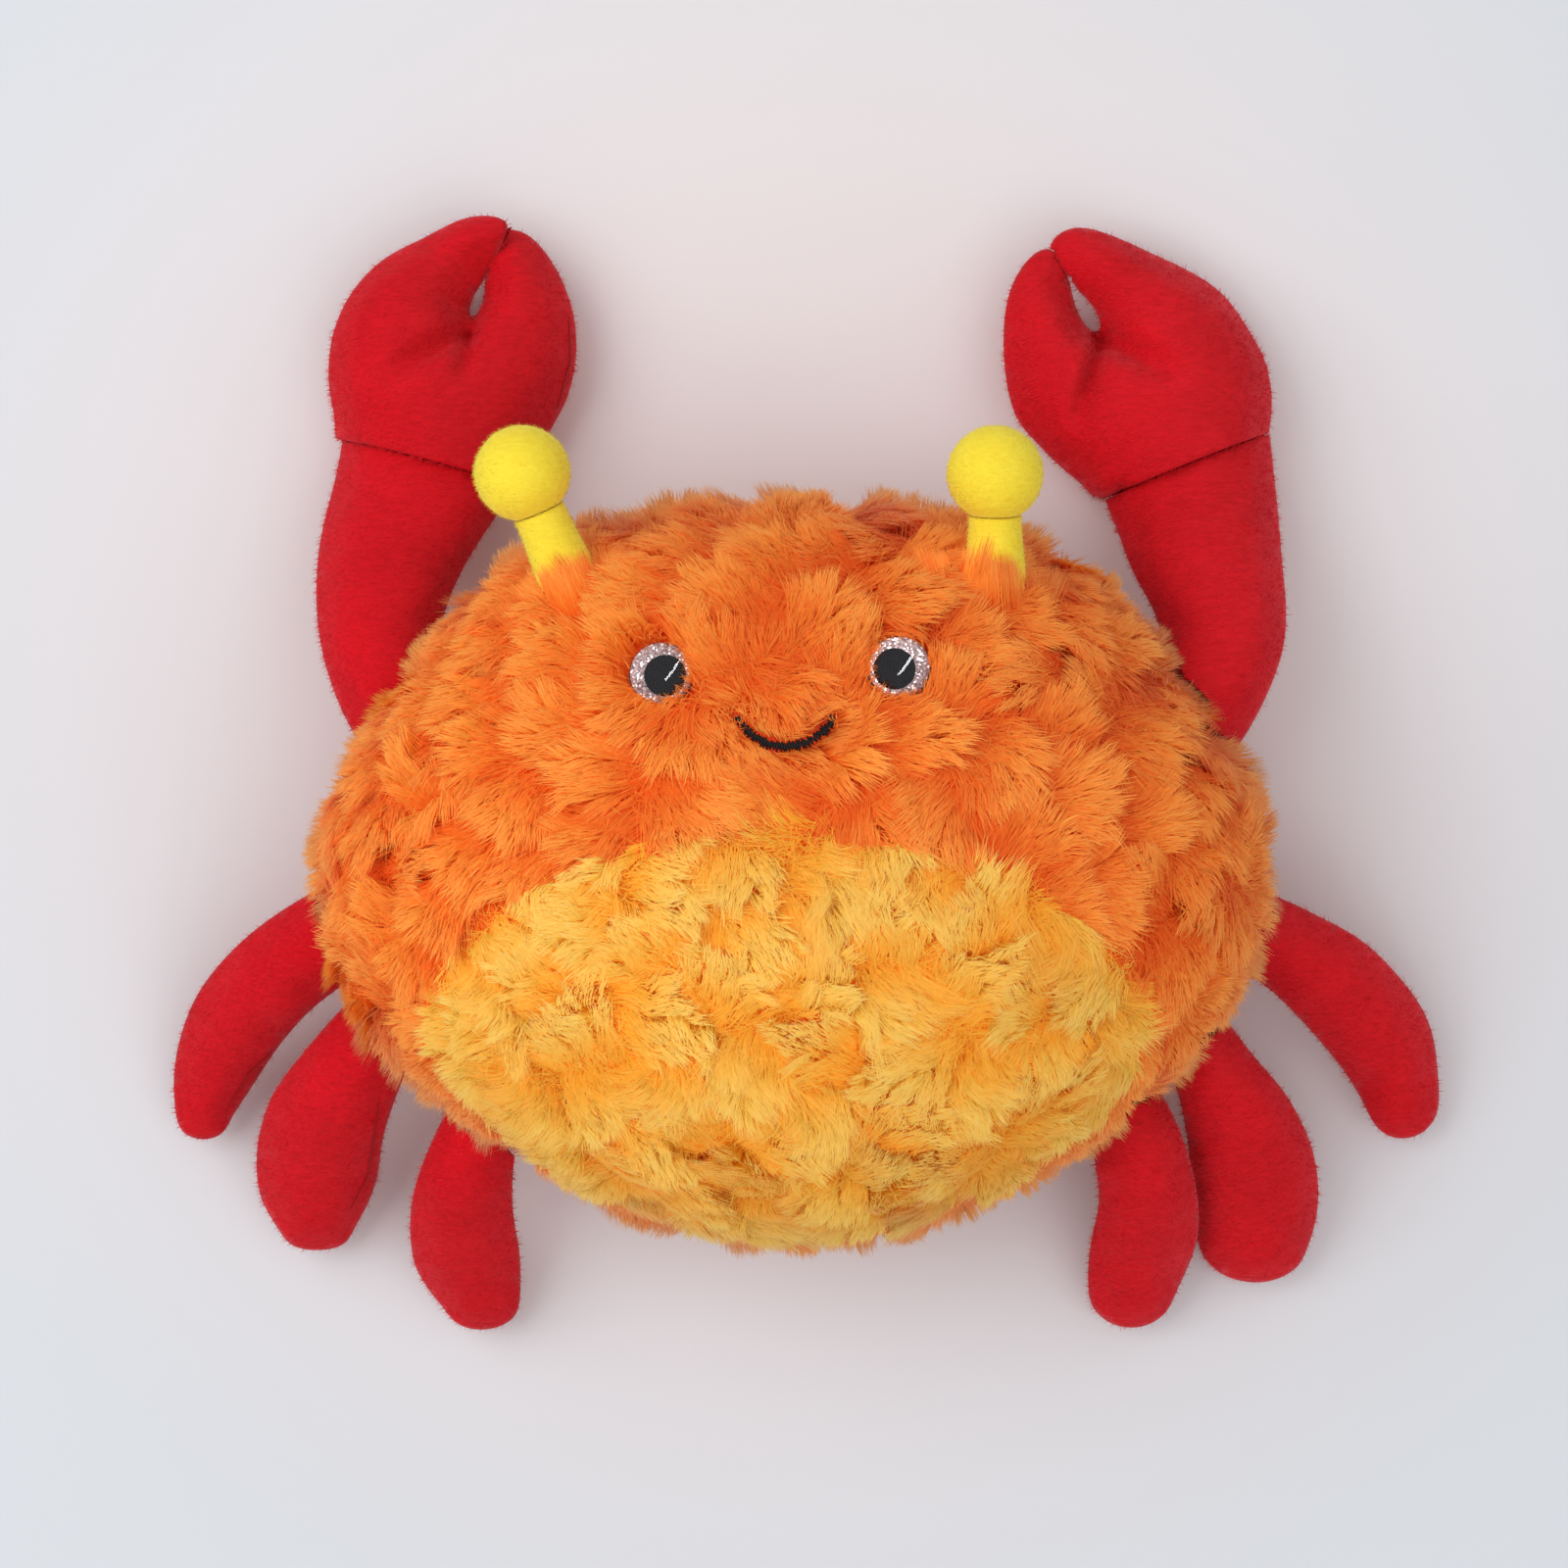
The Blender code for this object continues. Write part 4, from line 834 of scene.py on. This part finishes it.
def refined(node, levels, name):
    """A copy of a CAD node's mesh, welded and made finer, that keeps its seams and cut ends sharp."""
    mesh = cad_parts[node].data.copy()
    mesh.name = name
    shell = bmesh.new()
    shell.from_mesh(mesh)
    bmesh.ops.remove_doubles(shell, verts=shell.verts, dist=0.00001)
    crease = shell.edges.layers.float.get("crease_edge") or shell.edges.layers.float.new("crease_edge")
    for edge in shell.edges:
        edge[crease] = float(is_seam(edge))
    shell.to_mesh(mesh)
    shell.free()
    mesh.materials.clear()
    obj = add(name, mesh)
    subdivision = obj.modifiers.new("smooth", "SUBSURF")
    subdivision.levels = subdivision.render_levels = levels
    bpy.context.view_layer.update()
    graph = bpy.context.evaluated_depsgraph_get()
    fine = bpy.data.meshes.new_from_object(obj.evaluated_get(graph))
    obj.modifiers.clear()
    obj.data = fine
    fine.name = name
    fine.shade_smooth()
    return obj


def is_seam(edge):
    """Whether an edge of a limb joins its upper and its lower side, or a side and a cut end."""
    if len(edge.link_faces) != 2:
        return False
    upward, other = (face.normal.z for face in edge.link_faces)
    return upward * other < 0 or edge.calc_face_angle(0) > SEAM_ANGLE


def vertices_of(mesh):
    places = np.empty(len(mesh.vertices) * 3, np.float32)
    mesh.vertices.foreach_get("co", places)
    return places.reshape(-1, 3).astype(float)


def move_vertices(mesh, places):
    mesh.vertices.foreach_set("co", places.ravel().astype(np.float32))
    mesh.update()


def press_creases(limb, creases, centre):
    """Presses soft creases into the upper side of a limb."""
    mesh = limb.data
    places = vertices_of(mesh)
    facing = np.array([v.normal.z for v in mesh.vertices])
    for start, end, depth, width in creases:
        start, end = np.array(start) * MM + centre[:2], np.array(end) * MM + centre[:2]
        line = end - start
        share = np.clip((places[:, :2] - start) @ line / (line @ line), 0, 1)
        away = norms(places[:, :2] - start - share[:, None] * line)
        fade = 1 - 0.7 * share**2
        places[:, 2] -= depth * MM * fade * np.exp(-((away / (width * MM)) ** 2)) * np.clip(2 * facing, 0, 1)
    move_vertices(mesh, places)


def add_nap(limb, count, material, comb_way, finish, rng):
    """Short hairs all over a limb: one narrow triangle each, brushed one way and leaning out."""
    mesh = limb.data
    mesh.calc_loop_triangles()
    corners = np.empty(len(mesh.loop_triangles) * 3, np.int32)
    mesh.loop_triangles.foreach_get("vertices", corners)
    corners = corners.reshape(-1, 3)
    places = vertices_of(mesh)
    facing = np.array([v.normal for v in mesh.vertices])
    a, b, c = (places[corners[:, i]] for i in range(3))
    area = norms(np.cross(b - a, c - a))
    chosen = rng.choice(len(corners), count, p=area / area.sum())
    u, v = rng.uniform(size=(2, count))
    over = u + v > 1
    u, v = np.where(over, 1 - u, u)[:, None], np.where(over, 1 - v, v)[:, None]
    weights = (1 - u - v, u, v)
    root = sum(w * places[corners[chosen, i]] for i, w in enumerate(weights))
    out = unit(sum(w * facing[corners[chosen, i]] for i, w in enumerate(weights)))
    way = tangent(np.array(comb_way) + rng.normal(0, 0.35, (count, 3)), out)
    lean = rng.normal(1.0, 0.4, count)[:, None]
    hair = unit(out + lean * way) * (NAP_LENGTH[finish] * rng.uniform(0.6, 1.2, count))[:, None]
    aside = np.cross(out, unit(hair))
    half = NAP_WIDTH / 2
    base, tips = root - out * NAP_SINK, root + hair
    for points in (base, tips):
        points[:, 2] = np.maximum(points[:, 2], NAP_LEAST_HEIGHT)
    vertices = np.stack([base + aside * half, base - aside * half, tips], 1).reshape(-1, 3)
    tone = np.clip(rng.normal(0.5, 0.22, count), 0.02, 0.98)
    uv = np.empty((count, 3, 2))
    uv[:, :, 0] = tone[:, None] + TONE_SPREAD * np.array([1, -1, 0])
    # Root to tip, deep to pale: partly the nap's own colour, partly painted shade and highlight
    uv[:, :, 1] = np.array([0.3, 0.3, 0.95])
    shade = np.repeat(unit(out + 0.25 * rng.normal(0, 1, out.shape)), 3, axis=0)
    name = limb.name.replace("cloth", "nap")
    hairs = hair_object(name, vertices, np.arange(3 * count), np.full(count, 3), uv, shade, material)
    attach(hairs, "root")


def pull_corner(limb, corner, move, reach, centre):
    """Moves a corner of a claw's outline."""
    places = vertices_of(limb.data)
    distance = norms(places[:, :2] - np.array(corner) - centre[:2])
    places += np.exp(-((distance / reach) ** 2))[:, None] * np.array(move)
    move_vertices(limb.data, places)


def pinch_fingers(limb, tip, way, fold, centre):
    """Presses a claw's two finger tips together over the top of its slit, and folds the left one over."""
    places = vertices_of(limb.data)
    way = np.array(way) / np.linalg.norm(way)
    aside = np.array([way[1], -way[0]])
    offset = places[:, :2] - np.array(tip) * MM - centre[:2]
    along, across = offset @ way, offset @ aside
    weight = np.exp(-((along / FINGER_REACH[0]) ** 4) - (across / FINGER_REACH[1]) ** 2)
    places[:, :2] -= (FINGER_PINCH * weight * np.tanh(across / (0.3 * MM)))[:, None] * aside
    share = smooth((along - FOLD_LENGTH[0]) / (FOLD_LENGTH[1] - FOLD_LENGTH[0]))
    share = share * np.exp(-((across / FOLD_WIDTH) ** 2)) * (across < 0)
    places += share[:, None] * np.array(fold)
    move_vertices(limb.data, places)


def sew(limb, line, material, centre):
    """A seam along the upper side of a limb: a thin dark tube of thread half sunk in the cloth, painted shade
    that stands in for the seam's groove.
    """
    tree = BVHTree.FromObject(limb, bpy.context.evaluated_depsgraph_get())
    corners = np.array(line) * MM + centre[:2]
    steps = np.linspace(0, len(corners) - 1, SEAM_STEPS)
    flat = np.stack([np.interp(steps, range(len(corners)), corners[:, i]) for i in (0, 1)], 1)
    vertices = []
    for index, (x, y) in enumerate(flat):
        top, facing, _, _ = tree.ray_cast(Vector((x, y, 0.2)), Vector((0, 0, -1)))
        if top is None:
            continue
        fade = 0.25 + 0.75 * math.sin(math.pi * index / (len(flat) - 1))
        for k in range(TUBE_SIDES):
            turn = 2 * math.pi * k / TUBE_SIDES
            out = Vector((math.cos(turn), 0.3 * math.cos(turn), math.sin(turn))) * SEAM_RADIUS * fade
            vertices.append(tuple(top + facing * 0.15 * MM + out))
    name = limb.name.replace("cloth", "seam")
    seam = smooth_object(name, vertices, tube_faces(0, len(vertices) // TUBE_SIDES))
    seam.data.materials.append(material)
    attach(seam, "root")


def tube_faces(first, rings, sides=TUBE_SIDES):
    """Faces round a tube, whose rings of vertices start at the first one."""
    faces = []
    for ring in range(rings - 1):
        a, b = first + ring * sides, first + (ring + 1) * sides
        for k in range(sides):
            after = (k + 1) % sides
            faces.append((a + k, a + after, b + after, b + k))
    return faces


def area_of(limb):
    return sum(polygon.area for polygon in limb.data.polygons)


def make_covers(prefixes, creases, colours, nap_colours, hairs, finish, fill, centre):
    cloth = cloth_material(finish + "_look", *colours)
    nap = fur_material(finish + "_nap", nap_colours, nap_colours, colours[2])
    rng = np.random.default_rng(3)
    covers = []
    for node in sorted(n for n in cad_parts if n.startswith(prefixes)):
        cover = refined(node, 2, node + "_cloth")
        if node in creases:
            press_creases(cover, creases[node], centre)
            pinch_fingers(cover, *FINGER_TIPS[node], FINGER_FOLD.get(node, (0, 0, 0)), centre)
            for corner in CORNERS[node]:
                pull_corner(cover, *corner, centre)
        if node in SEAMS:
            sew(cover, SEAMS[node], plain_material(node + "_seam", SEAM_PAINTED_SHADE, 0.9), centre)
        cover.data.materials.append(cloth)
        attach(cover, "root")
        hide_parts(node)
        covers.append(cover)
    total = sum(area_of(cover) for cover in covers)
    for cover in covers:
        share = area_of(cover) / total
        add_nap(cover, int(hairs * share), nap, NAP_WAY, finish, rng)


# Eyes and smile


def lathe(name, profile, placement, segments=48):
    """A closed outline of (radius, height) points turned round its own Z axis."""
    vertices, rings = [], []
    for radius, height in profile:
        if radius == 0:
            rings.append([len(vertices)] * segments)
            vertices.append(placement @ Vector((0, 0, height)))
            continue
        rings.append(list(range(len(vertices), len(vertices) + segments)))
        for i in range(segments):
            turn = 2 * math.pi * i / segments
            vertices.append(placement @ Vector((radius * math.cos(turn), radius * math.sin(turn), height)))
    faces = []
    for lower, upper in zip(rings, rings[1:] + rings[:1]):
        for i in range(segments):
            j = (i + 1) % segments
            corners = list(dict.fromkeys((lower[i], lower[j], upper[j], upper[i])))
            if len(corners) > 2:
                faces.append(corners)
    obj = closed_object(name, vertices, faces)
    obj.data.set_sharp_from_angle(angle=math.radians(40))
    return obj


def closed_object(name, vertices, faces):
    """A smooth object whose faces all look outward."""
    obj = smooth_object(name, vertices, faces)
    shell = bmesh.new()
    shell.from_mesh(obj.data)
    bmesh.ops.recalc_face_normals(shell, faces=shell.faces)
    shell.to_mesh(obj.data)
    shell.free()
    return obj


def glitter_material():
    """Silver film with flakes that each face their own way, and painted glints and reflections: flakes
    painted at random from dark to white.
    """
    shader = Shader("silver_glitter_look")
    flakes = shader.node("ShaderNodeTexVoronoi", {"Scale": FLAKE_SCALE})
    shader.join(shader.node("ShaderNodeTexCoord").outputs["Object"], flakes.inputs["Vector"])
    split = shader.node("ShaderNodeSeparateColor")
    shader.join(flakes.outputs["Color"], split.inputs["Color"])
    shader.paint(shader.ramp(split.outputs["Red"], FLAKE_COLOURS_AND_GLINTS))
    shader.set(Metallic=0.3, Roughness=0.4)
    shader.bump(split.outputs["Green"], 0.8, 0.0004)
    return shader.material


def eye_frame(x, y, centre):
    """Where an eye sits: on the face, turned part of the way to the front, its own X axis to the right."""
    point = np.array([[x, y, face_height(x, y)]])
    aim = body_normals(point)[0] * (1 - EYE_AIM_SHARE) + np.array([0, 0, 1]) * EYE_AIM_SHARE
    out = Vector(aim).normalized()
    across = (Vector((1, 0, 0)) - out * out.x).normalized()
    turn = Matrix((across, out.cross(across), out)).transposed().to_4x4()
    return Matrix.Translation(Vector(point[0] + centre)) @ turn


def disc_profile(radius, top, thickness):
    return [(0, top), (radius, top), (radius, top - thickness), (0, top - thickness)]


def make_eyes(centre):
    clear = plain_material("clear_plastic_look", (1, 1, 1), 0.02, IOR=1.45, Transmission_Weight=1.0)
    black = plain_material("black_plastic_look", (0.006, 0.006, 0.008), 0.9, Specular_IOR_Level=0.0)
    glitter = glitter_material()
    # A dark ring round each eye's edge: painted shadow of the fur at the eye's rim
    rim = plain_material("eye_rim_look", (0.05, 0.03, 0.03), 0.5)
    rise = EYE_HEIGHT - EYE_RIM
    base = -EYE_SINK
    turns = [i / DOME_STEPS * math.pi / 2 for i in range(DOME_STEPS)]
    arc = [(EYE_RADIUS * math.cos(t), base + EYE_RIM + rise * math.sin(t)) for t in turns]
    dome_profile = [(0, base), (EYE_RADIUS, base), *arc, (0, base + EYE_HEIGHT)]
    film_top = base + 0.2 * MM
    rim_profile = [
        (EYE_RADIUS + 0.05 * MM, base + 0.7 * MM), (GLITTER_RADIUS + 0.1 * MM, base + 0.6 * MM),
        (GLITTER_RADIUS + 0.1 * MM, base - 0.6 * MM), (EYE_RADIUS + 0.05 * MM, base - 0.6 * MM),
    ]
    for side, (x, y) in EYES.items():
        placement = eye_frame(x, y, centre)
        moved = placement @ Matrix.Translation((*PUPIL_SHIFT[side], 0))
        pieces = (
            ("eye_dome_", dome_profile, placement, clear, "clear_plastic"),
            ("eye_pupil_", disc_profile(PUPIL_RADIUS, film_top + 0.1 * MM, 0.1 * MM), moved, black,
             "black_plastic"),
            ("eye_glitter_", disc_profile(EYE_RADIUS - 0.1 * MM, film_top, 0.15 * MM), placement, glitter,
             "silver_glitter"),
            ("eye_rim_", rim_profile, placement, rim, "silver_glitter"),
        )
        for label, profile, place, material, finish in pieces:
            obj = lathe(label + side + "_look", profile, place)
            obj.data.materials.append(material)
            obj.visible_shadow = material != clear
            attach(obj, "root")
            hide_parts((label if label != "eye_rim_" else "eye_glitter_") + side)


def make_smile(centre):
    """Satin stitches side by side across the line of the smile."""
    rng = np.random.default_rng(21)
    thread = plain_material("black_thread_look", (0.007, 0.006, 0.006), 0.55, Specular_IOR_Level=0.2)
    arc = mouth_arc(MOUTH_BARS)
    ahead = unit(np.gradient(arc, axis=0))
    vertices, faces = [], []
    for index, ((x, y), way) in enumerate(zip(arc, ahead)):
        lean = rng.normal(0, 0.16)
        across = np.array([-way[1] + lean * way[0], way[0] + lean * way[1]])
        half = MOUTH_THREAD_RADIUS * rng.uniform(0.7, 1.1) * (0.8 if index in (0, MOUTH_BARS - 1) else 1)
        shift = rng.normal(0, 0.12 * MM)
        first = len(vertices)
        for step in range(BAR_STEPS):
            share = 2 * step / (BAR_STEPS - 1) - 1
            px, py = np.array([x, y]) + across * (share * half + shift)
            arch = THREAD_ARCH * (1 - abs(share) ** 2.2) - THREAD_SINK
            height = face_height(px, py) + arch
            radius = THREAD_RADIUS * (1 - 0.5 * abs(share) ** 3)
            for k in range(TUBE_SIDES):
                turn = 2 * math.pi * k / TUBE_SIDES
                flat = np.array([px, py]) + way * radius * math.cos(turn)
                vertices.append(tuple(np.array([*flat, height + radius * math.sin(turn)]) + centre))
        faces += tube_faces(first, BAR_STEPS)
        for end in (first, first + (BAR_STEPS - 1) * TUBE_SIDES):
            faces.append(tuple(range(end, end + TUBE_SIDES)))
    smile = closed_object("smile_stitches", vertices, faces)
    smile.data.materials.append(thread)
    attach(smile, "root")
    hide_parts("mouth_stitch")


def dress_hidden_parts():
    """Looks of the parts inside, which the cut-open or taken-apart toy shows."""
    fibre = cloth_material("white_fibre_look", (0.85, 0.85, 0.83), (0.7, 0.7, 0.68), (1, 1, 1), 300)
    plastic = plain_material("washer_look", (0.012, 0.012, 0.013), 0.4)
    for node, look in (("body_filling", fibre), ("eye_washer_left", plastic), ("eye_washer_right", plastic)):
        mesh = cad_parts[node].data
        mesh.materials.clear()
        mesh.materials.append(look)


# Stage


def make_stage(centre):
    floor_mesh = bpy.data.meshes.new("floor")
    size = FLOOR_HALF_SIZE
    corners = [(-size, -size, 0), (size, -size, 0), (size, size, 0), (-size, size, 0)]
    floor_mesh.from_pydata(corners, [], [(0, 1, 2, 3)])
    floor = add("floor", floor_mesh)
    shader = Shader("pale_floor")
    shader.set(Roughness=0.9)
    # Painted bounce light: pinker towards the toy's middle
    middle = shader.node("ShaderNodeTexGradient", gradient_type="SPHERICAL")
    values = {"Location": PAINTED_BOUNCE_MIDDLE, "Scale": (PAINTED_BOUNCE_REACH,) * 3}
    around = shader.node("ShaderNodeMapping", values, vector_type="TEXTURE")
    shader.join(shader.node("ShaderNodeTexCoord").outputs["Object"], around.inputs["Vector"])
    shader.join(around.outputs["Vector"], middle.inputs["Vector"])
    shader.paint(shader.ramp(middle.outputs["Fac"], [(0.0, PALE_FLOOR), (0.6, PAINTED_BOUNCE_FLOOR)]))
    floor_mesh.materials.append(shader.material)
    floor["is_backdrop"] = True

    camera_data = bpy.data.cameras.new("camera")
    camera_data.sensor_width = SENSOR_WIDTH
    camera_data.lens = SENSOR_WIDTH * (CAMERA_HEIGHT - VIEW_HEIGHT_ABOVE_FLOOR) / VIEW_WIDTH
    camera = add("camera", camera_data)
    camera.location = (centre[0] + CAMERA_OFFSET[0], centre[1] + CAMERA_OFFSET[1], CAMERA_HEIGHT)
    bpy.context.scene.camera = camera

    world = bpy.data.worlds.new("studio")
    bpy.context.scene.world = world
    world.use_nodes = True
    background = world.node_tree.nodes["Background"]
    background.inputs["Color"].default_value = (1, 1, 1, 1)
    background.inputs["Strength"].default_value = WORLD_STRENGTH
    for label, place, power, width, length, glossy in LAMPS:
        lamp = bpy.data.lights.new(label, "AREA")
        lamp.shape = "RECTANGLE"
        lamp.energy = power
        lamp.size = width
        lamp.size_y = length
        obj = add(label, lamp)
        away = (Vector(place) - Vector(LAMP_AIM)).normalized()
        along = (Vector(LAMP_WAY) - away * away.dot(Vector(LAMP_WAY))).normalized()
        turn = Matrix((along.cross(away), along, away)).transposed().to_4x4()
        obj.matrix_world = Matrix.Translation(Vector(place)) @ turn
        obj.visible_glossy = glossy
        obj.visible_diffuse = not glossy
    bpy.context.scene.view_settings.view_transform = "Standard"


def write_size(label, sizes):
    low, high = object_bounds()
    sizes[label] = [[float(v) for v in low], [float(v) for v in high]]


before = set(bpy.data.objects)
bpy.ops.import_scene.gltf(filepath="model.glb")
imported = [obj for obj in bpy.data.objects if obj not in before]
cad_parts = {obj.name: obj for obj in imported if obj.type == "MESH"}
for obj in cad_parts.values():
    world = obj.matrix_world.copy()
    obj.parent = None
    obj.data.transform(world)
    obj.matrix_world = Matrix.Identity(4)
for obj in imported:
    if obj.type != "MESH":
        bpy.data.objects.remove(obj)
sizes = {}
write_size("cad", sizes)
filling_middle = np.mean(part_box("body_filling"), axis=0)
seam_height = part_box("face_panel")[0][2]
body_centre = np.array([*filling_middle[:2], seam_height])
make_stage(body_centre)
make_backing(body_centre)
make_fur(body_centre, lock_layout())
red = ((RED, RED_SHADE, RED_RIM), RED_NAP, LIMB_HAIRS, "red_short_pile", 0.8)
lemon = ((LEMON, LEMON_SHADE, LEMON_RIM), LEMON_NAP, ANTENNA_HAIRS, "lemon_short_pile", 0.9)
make_covers(("arm_", "claw_", "leg_"), PALM_CREASES, *red, body_centre)
make_covers(("antenna_",), {}, *lemon, body_centre)
make_eyes(body_centre)
make_smile(body_centre)
dress_hidden_parts()
write_size("dressed", sizes)
